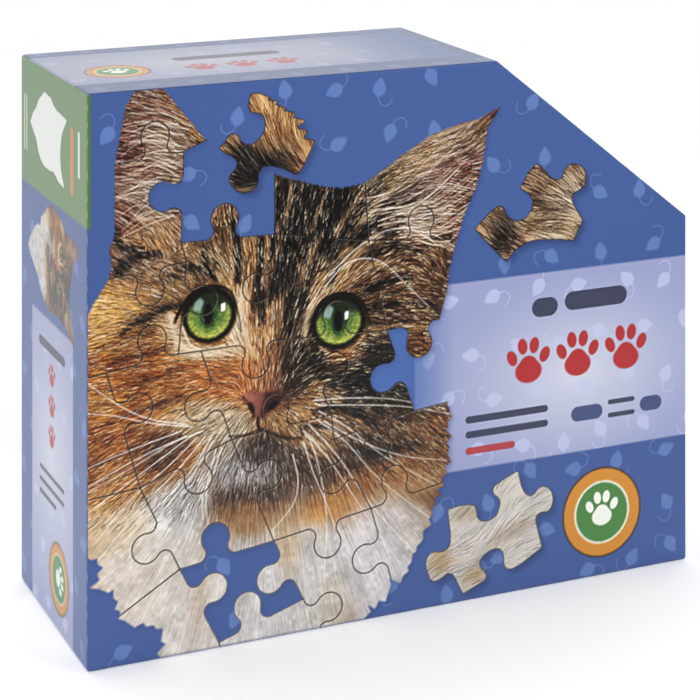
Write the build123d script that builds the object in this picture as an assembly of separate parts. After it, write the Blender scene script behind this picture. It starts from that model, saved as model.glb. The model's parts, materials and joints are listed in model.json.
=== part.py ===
from build123d import *
import math
import os

# Boxed jigsaw puzzle: a rigid two-piece box whose lid slides off a tray of twenty-four
# head-shaped jigsaw pieces and a folded picture leaflet.
# Frame: +Z up, +X to the right, the printed front faces -Y, origin at the bottom centre.

# ---- driving dimensions, millimetres ----
WIDTH = 240.0          # lid, left to right
HEIGHT = 198.0         # lid, bottom to top
DEPTH = 85.0           # whole box, front to back
CUT_ACROSS = 82.0      # how much of the top edge the cut corner takes
CUT_DOWN = 65.5        # how much of the right edge it takes
CORNER_R = 1.3         # rounding of the box's corners seen from the front
RIM_R = 0.8            # rounding round the edge of the front and back panels

BOARD = 1.5            # greyboard
WRAP = 0.2             # printed wrap paper
STAY = 0.1             # gummed paper stay over each corner
GLUE = 0.02            # glue line between two glued faces
TURN_IN = 15.0         # how far a wrap is folded inside its rim
LID_CLEARANCE = 0.6    # between the lid's inside and the tray's outside
LID_SETBACK = 0.5      # the lid's rim stops this far short of the back face
TRAY_SETBACK = 0.5     # the tray's rim stops this far short of the lid's front panel
STAY_REACH = 14.0      # how far a stay runs along each wall from its corner

PUZZLE_SCALE = 1.77    # the real puzzle over its picture on the lid
PIECE_T = 2.0          # puzzle board
PIECE_GAP = 0.06       # air between stacked pieces
KERF = 0.12            # width of the die's cut
TAB_R = 5.2            # bulb radius of a tab, in picture millimetres
TAB_RISE = 7.2         # bulb centre above the cut line
TAB_NECK_R = 3.0       # fillet where a tab leaves the cut line
LAYERS = 6             # pieces in each stack

LEAFLET_W = 150.0
LEAFLET_H = 105.0
LEAFLET_PAPER = 0.3
LEAFLET_FOLD_R = 0.45  # outer radius of the fold
LEAFLET_MIDDLE = (-10.0, 97.0)

FRONT_Y = -DEPTH / 2
BACK_Y = DEPTH / 2
WRAP_IN = WRAP + GLUE + STAY + GLUE        # outside of the wrap to the board
LID_INSIDE = WRAP_IN + BOARD + GLUE + WRAP  # outside of the lid to the face of its turn-in
TRAY_OUTSIDE = LID_INSIDE + LID_CLEARANCE
TRAY_INSIDE = TRAY_OUTSIDE + WRAP_IN + BOARD + GLUE + WRAP
LID_RIM_Y = BACK_Y - LID_SETBACK
TRAY_RIM_Y = FRONT_Y + WRAP_IN + BOARD + TRAY_SETBACK
TRAY_FLOOR_Y = BACK_Y - WRAP_IN - BOARD

# ---- the head, in the millimetres of its picture on the lid ----
# x runs from the lid's left edge and y from its bottom edge; the picture runs past both.
CHEST = [(70, -55), (84, -36), (96, -15), (104, 0), (105, 5), (114, 7), (113, 13), (119, 13)]
RIGHT_RUFF = [(125, 23), (130, 32), (132, 39), (135, 45.5), (138, 54), (137, 63), (138, 70.5)]
RIGHT_CHEEK = [(137, 75), (136, 88), (134, 105.5), (137, 115), (138, 123), (140, 130.5)]
RIGHT_EAR = [(144, 142), (149, 152), (152, 162), (154, 174), (159.4, 181), (150, 177), (142.5, 176)]
CROWN = [(131, 173), (120, 167), (112, 162), (104, 157.5), (95, 156.5), (87, 158), (74, 162), (57, 169)]
LEFT_EAR = [(43, 178.6), (27.5, 197.5), (20.5, 203), (14, 193), (10, 173), (10, 149), (8, 144)]
LEFT_CHEEK = [(8.8, 138), (7.5, 133), (2, 125.5), (-4, 113), (-9, 98), (-12, 80), (-13, 62), (-10, 50)]
LEFT_RUFF = [(-3, 41), (2.5, 39), (5.6, 35.5), (2.5, 27.4), (9, 27), (13, 15), (19, 13.6), (27, 10.5)]
NECK = [(28, 5.5), (27, 0), (33, -14), (45, -30), (58, -45)]
HEAD = (CHEST + RIGHT_RUFF + RIGHT_CHEEK + RIGHT_EAR + CROWN
        + LEFT_EAR + LEFT_CHEEK + LEFT_RUFF + NECK)

# Each cut runs from one point to another. Its tab bulges to the left of travel (1), to the
# right (-1) or is missing (0), and sits at the given share of the way along.
CUTS = [
    ((6, 172.5), (35, 175.2), 1, 0.66),
    ((35, 175.2), (46, 179.6), 0, 0.5),
    ((35, 175.2), (34, 143.6), -1, 0.48),
    ((3, 133.3), (36, 136.8), -1, 0.57),
    ((34, 143.6), (36, 136.8), 0, 0.5),
    ((34, 143.6), (69, 143), 1, 0.46),
    ((69, 143), (69, 170), 0, 0.5),
    ((69, 143), (105.5, 137), -1, 0.5),
    ((105.5, 137), (104, 164), 0, 0.5),
    ((105.5, 137), (150, 132.7), 1, 0.46),
    ((36, 136.8), (33, 105), 1, 0.42),
    ((69, 143), (69.5, 105.3), -1, 0.48),
    ((105.5, 137), (113, 103.6), 1, 0.5),
    ((-18, 98.5), (33, 105), 1, 0.83),
    ((33, 105), (69.5, 105.3), -1, 0.79),
    ((69.5, 105.3), (113, 103.6), 1, 0.53),
    ((113, 103.6), (142, 105.8), -1, 0.42),
    ((7, 101.7), (19, 60.5), 1, 0.38),
    ((41.3, 105.1), (52.8, 72.5), -1, 0.52),
    ((80, 104.9), (91, 76), 1, 0.5),
    ((91, 76), (92, 67), 0, 0.5),
    ((113, 103.6), (123.8, 73), -1, 0.48),
    ((-20, 57.5), (19, 60.5), 0, 0.5),
    ((19, 60.5), (52.8, 72.5), -1, 0.56),
    ((52.8, 72.5), (91, 76), 1, 0.45),
    ((92, 67), (123.8, 73), -1, 0.5),
    ((123.8, 73), (146, 75.3), 0, 0.5),
    ((19, 60.5), (33.5, 30), -1, 0.6),
    ((52.8, 72.5), (68.7, 34.3), 1, 0.45),
    ((92, 67), (106.5, 40), -1, 0.4),
    ((5, 13.8), (33.5, 30), 0, 0.5),
    ((33.5, 30), (68.7, 34.3), 1, 0.4),
    ((68.7, 34.3), (106.5, 40), -1, 0.52),
    ((106.5, 40), (142, 46.3), 1, 0.3),
    ((33.5, 30), (48, 2), 1, 0.42),
    ((68.7, 34.3), (80, 11.8), -1, 0.45),
    ((106.5, 40), (117, 5), -1, 0.45),
    ((48, 2), (80, 11.8), 1, 0.4),
    ((80, 11.8), (88, -6), 1, 0.42),
    ((88, -6), (112, -3), 0, 0.5),
    ((48, 2), (52, -25), -1, 0.5),
    ((88, -6), (76, -28), -1, 0.5),
    ((20, -24), (52, -25), 0, 0.5),
    ((52, -25), (76, -28), -1, 0.5),
]


# Where each piece's middle lies in the picture, the bay of the tray it is packed in, its layer
# counted from the tray's floor, and whether it is packed with a quarter turn.
PIECES = [
    ((27, 188), "under_cut", 1, False),
    ((46, 161), "under_cut", 6, False),
    ((132, 157), "right_low", 2, False),
    ((22, 155), "left_low", 5, True),
    ((87, 146), "under_cut", 2, False),
    ((51, 124), "left_low", 4, True),
    ((89, 123), "right_low", 1, False),
    ((123, 120), "left_high", 4, True),
    ((19, 118), "left_high", 3, False),
    ((66, 89), "left_low", 6, False),
    ((122, 89), "under_cut", 3, False),
    ((102, 87), "right_low", 4, True),
    ((30, 86), "right_low", 6, True),
    ((5, 80), "under_cut", 5, False),
    ((112, 57), "left_high", 5, False),
    ((80, 56), "left_low", 2, True),
    ((44, 51), "right_low", 3, False),
    ((11, 39), "left_high", 1, False),
    ((117, 34), "under_cut", 4, True),
    ((57, 23), "left_high", 2, False),
    ((88, 17), "right_low", 5, False),
    ((32, 2), "left_high", 6, True),
    ((66, -10), "left_low", 1, False),
    ((71, -30), "left_low", 3, False),
]
BAY_MARGIN = 1.2           # from a packed piece to the tray's wall
UNDER_CUT = (31.0, 129.0)  # middle of the bay beside the cut corner


# ---- the box ----

def box_face(inset, corner_r):
    """The box's five-cornered outline seen from the front, moved in by inset."""
    half = WIDTH / 2
    corners = [
        (-half, 0),
        (half, 0),
        (half, HEIGHT - CUT_DOWN),
        (half - CUT_ACROSS, HEIGHT),
        (-half, HEIGHT),
    ]
    face = make_face(Polyline(*corners, close=True))
    if inset:
        face = offset(face, -inset, kind=Kind.INTERSECTION)
    return fillet(face.vertices(), corner_r) if corner_r > 0.1 else face


def facing_front(y):
    """The plane at a given depth that faces the front, with X to the right and Z up."""
    return Plane(origin=(0, y, 0), x_dir=(1, 0, 0), z_dir=(0, -1, 0))


def slab(inset, y_a, y_b, corner_r=0.0):
    """The box's outline between two depths."""
    return extrude(facing_front(max(y_a, y_b)) * box_face(inset, corner_r), abs(y_b - y_a))


def ring(inset, width, y_a, y_b):
    """A band that follows the box's outline."""
    past = 1.0
    hole = slab(inset + width, min(y_a, y_b) - past, max(y_a, y_b) + past)
    return slab(inset, y_a, y_b) - hole


def rounded_slab(inset, closed_y, rim_y, corner_r, panel_r):
    """A slab whose edge is rounded at its closed end."""
    body = slab(inset, closed_y, rim_y, corner_r)
    if panel_r < 0.1:
        return body
    panel = body.faces().sort_by(lambda f: abs(f.center().Y - closed_y))[0]
    return fillet(panel.edges(), panel_r)


def shell(inset, wall, closed_y, rim_y, corner_r, panel_r):
    """An open tray with the box's outline, closed at one depth and open at the other."""
    way = 1 if rim_y > closed_y else -1
    outer = rounded_slab(inset, closed_y, rim_y, corner_r, panel_r)
    inner = rounded_slab(inset + wall, closed_y + way * wall, rim_y + way, corner_r - wall, panel_r - wall)
    return outer - inner


def board_tray(outside, closed_y, rim_y):
    """The greyboard tray under a wrap whose outside is moved in by outside."""
    way = 1 if rim_y > closed_y else -1
    return shell(
        outside + WRAP_IN,
        BOARD,
        closed_y + way * WRAP_IN,
        rim_y - way * (WRAP + GLUE),
        CORNER_R - WRAP_IN,
        RIM_R - WRAP_IN,
    )


def wrap_cover(outside, closed_y, rim_y):
    """The printed wrap: panel and walls, over the rim, and turned in behind it."""
    way = 1 if rim_y > closed_y else -1
    under = outside + WRAP_IN + BOARD + GLUE
    cover = shell(outside, WRAP, closed_y, rim_y, CORNER_R, RIM_R)
    rim_hole = slab(under + WRAP, rim_y - 1, rim_y + 1)
    over_rim = slab(outside, rim_y - way * WRAP, rim_y, CORNER_R) - rim_hole
    return cover + over_rim + ring(under, WRAP, rim_y - way * TURN_IN, rim_y)


def corner_stays(outside, closed_y, rim_y):
    """Five strips of gummed paper, one folded round each corner of a board tray."""
    way = 1 if rim_y > closed_y else -1
    low, high = sorted((closed_y + way * (RIM_R + WRAP), rim_y - way * WRAP_IN))
    inset = outside + WRAP + GLUE
    corner_r = CORNER_R - WRAP - GLUE
    hole = slab(inset + STAY, low - 1, high + 1, corner_r - STAY)
    band = slab(inset, low, high, corner_r) - hole
    size = 2 * STAY_REACH
    stays = []
    for corner in box_face(outside, 0).vertices():
        reach = Box(size, 2 * DEPTH, size)
        stays += (band & (Pos(corner.X, 0, corner.Y) * reach)).solids()
    return stays


# ---- the jigsaw ----

def cut_path(start, end, side, share):
    """One cut line: straight, with a round tab that leaves it through two fillets."""
    a, b = Vector(*start), Vector(*end)
    if side == 0:
        return [Line(a, b)]
    along = (b - a).normalized()
    out = Vector(-along.Y, along.X) * side
    middle = a + (b - a) * share
    join = TAB_R + TAB_NECK_R
    drop = TAB_RISE - TAB_NECK_R
    foot = math.sqrt(join**2 - drop**2)
    turn = (math.atan2(drop, foot) - math.pi / 2) / 2
    neck = (foot - TAB_NECK_R * math.cos(turn), TAB_NECK_R * (1 + math.sin(turn)))
    touch = (foot * TAB_R / join, TAB_RISE - drop * TAB_R / join)

    def at(u, v):
        return middle + along * u + out * v

    return [
        Line(a, at(-foot, 0)),
        ThreePointArc(at(-foot, 0), at(-neck[0], neck[1]), at(-touch[0], touch[1])),
        ThreePointArc(at(-touch[0], touch[1]), at(0, TAB_RISE + TAB_R), at(*touch)),
        ThreePointArc(at(*touch), at(*neck), at(foot, 0)),
        Line(at(foot, 0), b),
    ]


def cut_faces():
    """The head cut into its pieces, flat, in picture millimetres."""
    sheet = make_face(Polyline(*HEAD, close=True))
    for cut in CUTS:
        sheet -= trace(cut_path(*cut), KERF / PUZZLE_SCALE)
    return sheet.faces()


def bay_middle(bay, size):
    """Where the middle of a packed piece of this size goes, as X and Z."""
    inside = TRAY_INSIDE + BAY_MARGIN
    if bay == "under_cut":
        return UNDER_CUT
    right = WIDTH / 2 - inside - size.X / 2
    low = inside + size.Y / 2
    x = right if bay.startswith("right") else -right
    return x, (HEIGHT - low if bay.endswith("high") else low)


def packed_piece(faces, middle, bay, layer, turned):
    """One puzzle piece at full size, lying in its bay with its picture to the front."""
    at = Vector(*middle)
    face = min(faces, key=lambda f: (f.bounding_box().center() - at).length)
    face = scale(Pos(-at.X, -at.Y) * face, PUZZLE_SCALE)
    if turned:
        face = Rot(0, 0, 90) * face
    box = face.bounding_box()
    x, z = bay_middle(bay, box.size)
    back_y = TRAY_FLOOR_Y - layer * PIECE_GAP - (layer - 1) * PIECE_T
    flat = Pos(x - box.center().X, z - box.center().Y) * face
    return extrude(facing_front(back_y) * flat, PIECE_T)


# ---- the leaflet ----

def folded_leaflet(middle_x, middle_z, back_y):
    """A sheet folded once, its fold at the left, lying on the top layer of pieces."""
    left = middle_x - LEAFLET_W / 2
    right = middle_x + LEAFLET_W / 2
    y = back_y - LEAFLET_FOLD_R

    def half_round(radius):
        start, end = (right, y - radius), (left, y - radius)
        back = (left, y + radius)
        return make_face(
            Line(start, end)
            + ThreePointArc(end, (left - radius, y), back)
            + Line(back, (right, y + radius))
            + Line((right, y + radius), start)
        )

    sheet = half_round(LEAFLET_FOLD_R) - half_round(LEAFLET_FOLD_R - LEAFLET_PAPER)
    return extrude(Pos(0, 0, middle_z - LEAFLET_H / 2) * sheet, LEAFLET_H)


parts = {
    "lid_board": board_tray(0, FRONT_Y, LID_RIM_Y),
    "lid_wrap": wrap_cover(0, FRONT_Y, LID_RIM_Y),
    "lid_corner_stays": Compound(children=corner_stays(0, FRONT_Y, LID_RIM_Y)),
    "tray_board": board_tray(TRAY_OUTSIDE, BACK_Y, TRAY_RIM_Y),
    "tray_wrap": wrap_cover(TRAY_OUTSIDE, BACK_Y, TRAY_RIM_Y),
    "tray_corner_stays": Compound(children=corner_stays(TRAY_OUTSIDE, BACK_Y, TRAY_RIM_Y)),
}

pile_top_y = TRAY_FLOOR_Y - LAYERS * (PIECE_T + PIECE_GAP)
parts["picture_leaflet"] = folded_leaflet(*LEAFLET_MIDDLE, pile_top_y - PIECE_GAP)

faces = cut_faces()
for number, (middle, bay, layer, turned) in enumerate(PIECES, start=1):
    parts[f"puzzle_piece_{number:02d}"] = packed_piece(faces, middle, bay, layer, turned)

os.makedirs("parts", exist_ok=True)
for name, shape in parts.items():
    export_step(shape, f"parts/{name}.step")
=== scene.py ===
import json
import math

import bpy
import numpy as np
from mathutils.geometry import delaunay_2d_cdt
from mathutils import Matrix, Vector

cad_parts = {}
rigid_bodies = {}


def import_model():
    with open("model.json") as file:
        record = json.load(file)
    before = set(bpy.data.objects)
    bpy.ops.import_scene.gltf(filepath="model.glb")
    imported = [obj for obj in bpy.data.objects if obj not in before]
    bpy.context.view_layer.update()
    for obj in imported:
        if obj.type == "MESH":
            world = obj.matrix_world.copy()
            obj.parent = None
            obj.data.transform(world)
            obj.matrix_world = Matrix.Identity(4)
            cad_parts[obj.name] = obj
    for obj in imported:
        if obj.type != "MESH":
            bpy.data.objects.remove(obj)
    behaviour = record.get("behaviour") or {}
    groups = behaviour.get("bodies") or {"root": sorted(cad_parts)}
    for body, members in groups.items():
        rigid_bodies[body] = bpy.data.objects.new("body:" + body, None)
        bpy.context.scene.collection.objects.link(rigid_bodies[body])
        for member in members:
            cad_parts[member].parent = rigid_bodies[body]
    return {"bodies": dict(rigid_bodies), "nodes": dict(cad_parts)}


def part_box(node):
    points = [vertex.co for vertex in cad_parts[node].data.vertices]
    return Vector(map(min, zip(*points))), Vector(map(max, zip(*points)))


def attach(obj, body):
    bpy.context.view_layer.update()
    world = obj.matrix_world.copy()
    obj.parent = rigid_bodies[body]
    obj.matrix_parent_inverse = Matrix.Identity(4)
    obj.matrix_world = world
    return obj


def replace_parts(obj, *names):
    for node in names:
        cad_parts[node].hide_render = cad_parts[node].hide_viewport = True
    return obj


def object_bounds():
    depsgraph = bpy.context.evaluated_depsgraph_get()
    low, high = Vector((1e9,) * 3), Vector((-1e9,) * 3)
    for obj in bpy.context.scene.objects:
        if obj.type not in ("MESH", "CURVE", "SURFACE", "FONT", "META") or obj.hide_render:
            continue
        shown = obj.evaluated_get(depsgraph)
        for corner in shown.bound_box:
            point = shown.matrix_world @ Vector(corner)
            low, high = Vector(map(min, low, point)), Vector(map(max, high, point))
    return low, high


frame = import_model()
cad_low, cad_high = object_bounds()
MM = 0.001

# ---- the box, millimetres, worked out from the frame ----
WIDTH = (cad_high.x - cad_low.x) / MM
HEIGHT = (cad_high.z - cad_low.z) / MM
DEPTH = (cad_high.y - cad_low.y) / MM
CUT_ACROSS = 82.0      # the cut corner, along the top edge
CUT_DOWN = 65.5        # and down the right edge
CORNER_R = 1.3         # rounding where two walls meet
PANEL_R = 0.8          # rounding where a wall meets its panel
RIM_R = 0.5            # rounding of a rim
INNER_R = 0.02         # rounding of the corners inside the turn-in
WALL = 2.06            # outside of a wall to the inside of its turn-in
PAPER = 0.2            # the printed paper
TURN_IN = 15.0         # how far the paper goes in over the rim
lid_low, lid_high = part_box("lid_wrap")
tray_low, tray_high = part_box("tray_wrap")
LID_FRONT, LID_RIM = lid_low.y / MM, lid_high.y / MM
TRAY_BACK, TRAY_RIM = tray_high.y / MM, tray_low.y / MM
TRAY_INSET = (tray_low.z - lid_low.z) / MM

# ---- the head's outline and its cut lines, in the millimetres of the lid's front ----
# x runs from the lid's left edge and y from its bottom edge; the head runs past both.
PUZZLE_SCALE = 1.77    # the real puzzle over its picture on the lid
TAB_R, TAB_RISE, TAB_NECK_R = 5.2, 7.2, 3.0    # a tab's circle, its middle off the line, its fillets
CHEST = [(70, -55), (84, -36), (96, -15), (104, 0), (105, 5), (114, 7), (113, 13), (119, 13)]
RIGHT_RUFF = [(125, 23), (130, 32), (132, 39), (135, 45.5), (138, 54), (137, 63), (138, 70.5)]
RIGHT_CHEEK = [(137, 75), (136, 88), (134, 105.5), (137, 115), (138, 123), (140, 130.5)]
RIGHT_EAR = [(144, 142), (149, 152), (152, 162), (154, 174), (159.4, 181), (150, 177), (142.5, 176)]
CROWN = [(131, 173), (120, 167), (112, 162), (104, 157.5), (95, 156.5), (87, 158), (74, 162), (57, 169)]
LEFT_EAR = [(43, 178.6), (27.5, 197.5), (20.5, 203), (14, 193), (10, 173), (10, 149), (8, 144)]
LEFT_CHEEK = [(8.8, 138), (7.5, 133), (2, 125.5), (-4, 113), (-9, 98), (-12, 80), (-13, 62), (-10, 50)]
LEFT_RUFF = [(-3, 41), (2.5, 39), (5.6, 35.5), (2.5, 27.4), (9, 27), (13, 15), (19, 13.6), (27, 10.5)]
NECK = [(28, 5.5), (27, 0), (33, -14), (45, -30), (58, -45)]
HEAD = (CHEST + RIGHT_RUFF + RIGHT_CHEEK + RIGHT_EAR + CROWN
        + LEFT_EAR + LEFT_CHEEK + LEFT_RUFF + NECK)

# Each cut: start, end, side of its tab (1 left of travel, -1 right, 0 none), share along.
CUTS = [
    ((6, 172.5), (35, 175.2), 1, 0.66),
    ((35, 175.2), (46, 179.6), 0, 0.5),
    ((35, 175.2), (34, 143.6), -1, 0.48),
    ((3, 133.3), (36, 136.8), -1, 0.57),
    ((34, 143.6), (36, 136.8), 0, 0.5),
    ((34, 143.6), (69, 143), 1, 0.46),
    ((69, 143), (69, 170), 0, 0.5),
    ((69, 143), (105.5, 137), -1, 0.5),
    ((105.5, 137), (104, 164), 0, 0.5),
    ((105.5, 137), (150, 132.7), 1, 0.46),
    ((36, 136.8), (33, 105), 1, 0.42),
    ((69, 143), (69.5, 105.3), -1, 0.48),
    ((105.5, 137), (113, 103.6), 1, 0.5),
    ((-18, 98.5), (33, 105), 1, 0.83),
    ((33, 105), (69.5, 105.3), -1, 0.79),
    ((69.5, 105.3), (113, 103.6), 1, 0.53),
    ((113, 103.6), (142, 105.8), -1, 0.42),
    ((7, 101.7), (19, 60.5), 1, 0.38),
    ((41.3, 105.1), (52.8, 72.5), -1, 0.52),
    ((80, 104.9), (91, 76), 1, 0.5),
    ((91, 76), (92, 67), 0, 0.5),
    ((113, 103.6), (123.8, 73), -1, 0.48),
    ((-20, 57.5), (19, 60.5), 0, 0.5),
    ((19, 60.5), (52.8, 72.5), -1, 0.56),
    ((52.8, 72.5), (91, 76), 1, 0.45),
    ((92, 67), (123.8, 73), -1, 0.5),
    ((123.8, 73), (146, 75.3), 0, 0.5),
    ((19, 60.5), (33.5, 30), -1, 0.6),
    ((52.8, 72.5), (68.7, 34.3), 1, 0.45),
    ((92, 67), (106.5, 40), -1, 0.4),
    ((5, 13.8), (33.5, 30), 0, 0.5),
    ((33.5, 30), (68.7, 34.3), 1, 0.4),
    ((68.7, 34.3), (106.5, 40), -1, 0.52),
    ((106.5, 40), (142, 46.3), 1, 0.3),
    ((33.5, 30), (48, 2), 1, 0.42),
    ((68.7, 34.3), (80, 11.8), -1, 0.45),
    ((106.5, 40), (117, 5), -1, 0.45),
    ((48, 2), (80, 11.8), 1, 0.4),
    ((80, 11.8), (88, -6), 1, 0.42),
    ((88, -6), (112, -3), 0, 0.5),
    ((48, 2), (52, -25), -1, 0.5),
    ((88, -6), (76, -28), -1, 0.5),
    ((20, -24), (52, -25), 0, 0.5),
    ((52, -25), (76, -28), -1, 0.5),
]
# The three pieces that the picture shows taken out: cuts in order round the piece (negative
# when walked backwards, counted from 1), then far points that close it outside the head.
TAKEN_OUT = [
    ([3, 6, 7], [(69, 200), (46, 200), (46, 179.6)]),
    ([22, 27], [(160, 75), (160, 105.8), (142, 105.8), -17]),
    ([32, 36, -38, -35], []),
]

# Where each piece's middle lies in the picture, and whether it is packed a quarter turn round.
PIECES = [
    (27, 188, 0), (46, 161, 0), (132, 157, 0), (22, 155, 1), (87, 146, 0), (51, 124, 1), (89, 123, 0),
    (123, 120, 1), (19, 118, 0), (66, 89, 0), (122, 89, 0), (102, 87, 1), (30, 86, 1), (5, 80, 0),
    (112, 57, 0), (80, 56, 1), (44, 51, 0), (11, 39, 0), (117, 34, 1), (57, 23, 0), (88, 17, 0),
    (32, 2, 1), (66, -10, 0), (71, -30, 0),
]


def cut_points(cut, steps=9):
    """A cut line as points: straight, with a round tab that leaves it through two fillets."""
    start, end, side, share = cut
    a, b = np.array(start, float), np.array(end, float)
    if side == 0:
        return [tuple(a), tuple(b)]
    along = (b - a) / np.linalg.norm(b - a)
    out = np.array([-along[1], along[0]]) * side
    middle = a + (b - a) * share
    join, drop = TAB_R + TAB_NECK_R, TAB_RISE - TAB_NECK_R
    foot = math.sqrt(join**2 - drop**2)
    lean = math.atan2(drop, foot)
    local = []
    for k in range(steps + 1):
        angle = -math.pi / 2 + (lean + math.pi / 2) * k / steps
        local.append((-foot + TAB_NECK_R * math.cos(angle), TAB_NECK_R * (1 + math.sin(angle))))
    for k in range(1, 3 * steps):
        angle = math.pi + lean - (math.pi + 2 * lean) * k / (3 * steps)
        local.append((TAB_R * math.cos(angle), TAB_RISE + TAB_R * math.sin(angle)))
    local += [(-u, v) for u, v in reversed(local[: steps + 1])]
    return [tuple(a)] + [tuple(middle + along * u + out * v) for u, v in local] + [tuple(b)]


def taken_out_outline(chain, closing):
    """The outline of one piece that the picture shows taken out."""
    points = []
    for number in chain:
        path = cut_points(CUTS[abs(number) - 1])
        points += path if number > 0 else path[::-1]
    for item in closing:
        points += cut_points(CUTS[-item - 1])[::-1] if isinstance(item, int) else [item]
    return points


# ---- painting: colours as sRGB 0 to 1 on grids of samples ----
class Canvas:
    """A printed surface: colours on a grid, with x to the right and y up, in millimetres."""

    def __init__(self, low, high, per_mm, colour):
        self.low, self.per_mm = low, per_mm
        self.w = int(round((high[0] - low[0]) * per_mm))
        self.h = int(round((high[1] - low[1]) * per_mm))
        xs = low[0] + (np.arange(self.w) + 0.5) / per_mm
        ys = low[1] + (np.arange(self.h) + 0.5) / per_mm
        self.x, self.y = np.meshgrid(xs.astype(np.float32), ys.astype(np.float32))
        self.rgb = np.empty((self.h, self.w, 3), np.float32)
        self.rgb[:] = colour

    def window(self, x0, y0, x1, y1):
        """The slices, rows then columns, that hold a rectangle given in millimetres."""
        slices = []
        for low, high, base, most in ((y0, y1, self.low[1], self.h), (x0, x1, self.low[0], self.w)):
            first = max(0, int((low - base) * self.per_mm) - 1)
            last = min(most, int((high - base) * self.per_mm) + 2)
            slices.append(slice(first, max(first, last)))
        return tuple(slices)

    def tint(self, colour, alpha):
        """Lays one colour over the whole canvas with the given cover."""
        self.rgb += (np.array(colour, np.float32) - self.rgb) * alpha[..., None]

    def lay(self, win, colour, alpha):
        """Lays a colour over one window with the given cover."""
        part = self.rgb[win]
        part += (np.asarray(colour, np.float32) - part) * alpha[..., None].astype(np.float32)

    def blob(self, at, radii, colour, turn=0.0, edge=0.35, amount=1.0):
        """A soft-edged ellipse."""
        reach = max(radii) * (1 + 3 * edge)
        win = self.window(at[0] - reach, at[1] - reach, at[0] + reach, at[1] + reach)
        x, y = self.x[win] - at[0], self.y[win] - at[1]
        c, s = math.cos(math.radians(turn)), math.sin(math.radians(turn))
        d = np.hypot((x * c + y * s) / radii[0], (y * c - x * s) / radii[1])
        self.lay(win, colour, amount / (1 + np.exp(np.clip((d - 1) * 4 / edge, -30, 30))))

    def line(self, points, width, colour, amount=1.0, soft=0.12, tip=None):
        """A line through points; tip is its width at the far end."""
        pts = np.asarray(points, float)
        n = len(pts) - 1
        tip = width if tip is None else tip
        pad = max(width, tip) / 2 + soft * 3
        low, high = pts.min(0) - pad, pts.max(0) + pad
        win = self.window(low[0], low[1], high[0], high[1])
        cover = np.zeros(self.x[win].shape, np.float32)
        oj, oi = win[0].start, win[1].start
        for k in range(n):
            a, b = pts[k], pts[k + 1]
            w = self.window(min(a[0], b[0]) - pad, min(a[1], b[1]) - pad,
                            max(a[0], b[0]) + pad, max(a[1], b[1]) + pad)
            x, y = self.x[w] - a[0], self.y[w] - a[1]
            d = b - a
            t = np.clip((x * d[0] + y * d[1]) / max(d @ d, 1e-9), 0, 1)
            far = np.hypot(x - t * d[0], y - t * d[1])
            half = (width + (tip - width) * (k + t) / n) / 2
            c = np.clip((half - far) / (2 * soft) + 0.5, 0, 1)
            inner = (slice(w[0].start - oj, w[0].stop - oj), slice(w[1].start - oi, w[1].stop - oi))
            cover[inner] = np.maximum(cover[inner], c)
        self.lay(win, colour, cover * amount)

    def inside(self, points, blur=1):
        """The window and soft-edged cover of a closed outline."""
        pts = np.asarray(points, float)
        pad = (blur + 1) / self.per_mm
        win = self.window(pts[:, 0].min() - pad, pts[:, 1].min() - pad,
                          pts[:, 0].max() + pad, pts[:, 1].max() + pad)
        x, y = self.x[win], self.y[win]
        odd = np.zeros(x.shape, bool)
        for (ax, ay), (bx, by) in zip(pts, np.roll(pts, -1, 0)):
            if ay == by:
                continue
            crosses = (ay > y) != (by > y)
            odd ^= crosses & (x < (bx - ax) * (y - ay) / (by - ay) + ax)
        return win, blurred(odd.astype(np.float32), blur)

    def area(self, points, colour, amount=1.0, blur=1):
        """A closed outline filled with a colour."""
        win, cover = self.inside(points, blur)
        self.lay(win, colour, cover * amount)

    def sample(self, x, y):
        """Colours at points, between samples where needed."""
        u = np.clip((np.asarray(x) - self.low[0]) * self.per_mm - 0.5, 0, self.w - 1.001)
        v = np.clip((np.asarray(y) - self.low[1]) * self.per_mm - 0.5, 0, self.h - 1.001)
        i, j = u.astype(int), v.astype(int)
        fu, fv = (u - i)[..., None], (v - j)[..., None]
        g = self.rgb
        low = g[j, i] * (1 - fu) + g[j, i + 1] * fu
        high = g[j + 1, i] * (1 - fu) + g[j + 1, i + 1] * fu
        return low * (1 - fv) + high * fv


def smooth_sample(canvas, spread):
    """A sampler that averages four points about each place, so that fine lines stay whole."""
    def at(x, y):
        corners = ((-spread, -spread), (spread, -spread), (-spread, spread), (spread, spread))
        return sum(canvas.sample(x + dx, y + dy) for dx, dy in corners) / 4
    return at


def ramp(value, zero, one):
    """Rises from 0 to 1 as a value goes from one place to another."""
    return np.clip((value - zero) / (one - zero), 0, 1)


def punchy(rgb):
    """Deeper darks and slightly brighter lights."""
    bend = np.sin(2 * math.pi * np.clip(rgb, 0, 1)) / (2 * math.pi)
    return (rgb - bend * np.where(rgb < 0.5, 0.55, 0.25)).astype(np.float32)


def crisp(canvas, amount=0.7, radius=2):
    """Sharpens what is painted."""
    for ch in range(3):
        plane = canvas.rgb[..., ch]
        canvas.rgb[..., ch] = np.clip(plane + amount * (plane - blurred(plane, radius)), 0, 1)


def coarser(canvas, k):
    """A copy with k times fewer samples each way, for small pictures."""
    rows, cols = canvas.h // k * k, canvas.w // k * k
    high = (canvas.low[0] + cols / canvas.per_mm, canvas.low[1] + rows / canvas.per_mm)
    made = Canvas(canvas.low, high, canvas.per_mm / k, 0)
    made.rgb = canvas.rgb[:rows, :cols].reshape(rows // k, k, cols // k, k, 3).mean((1, 3))
    made.h, made.w = made.rgb.shape[:2]
    return made


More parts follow.
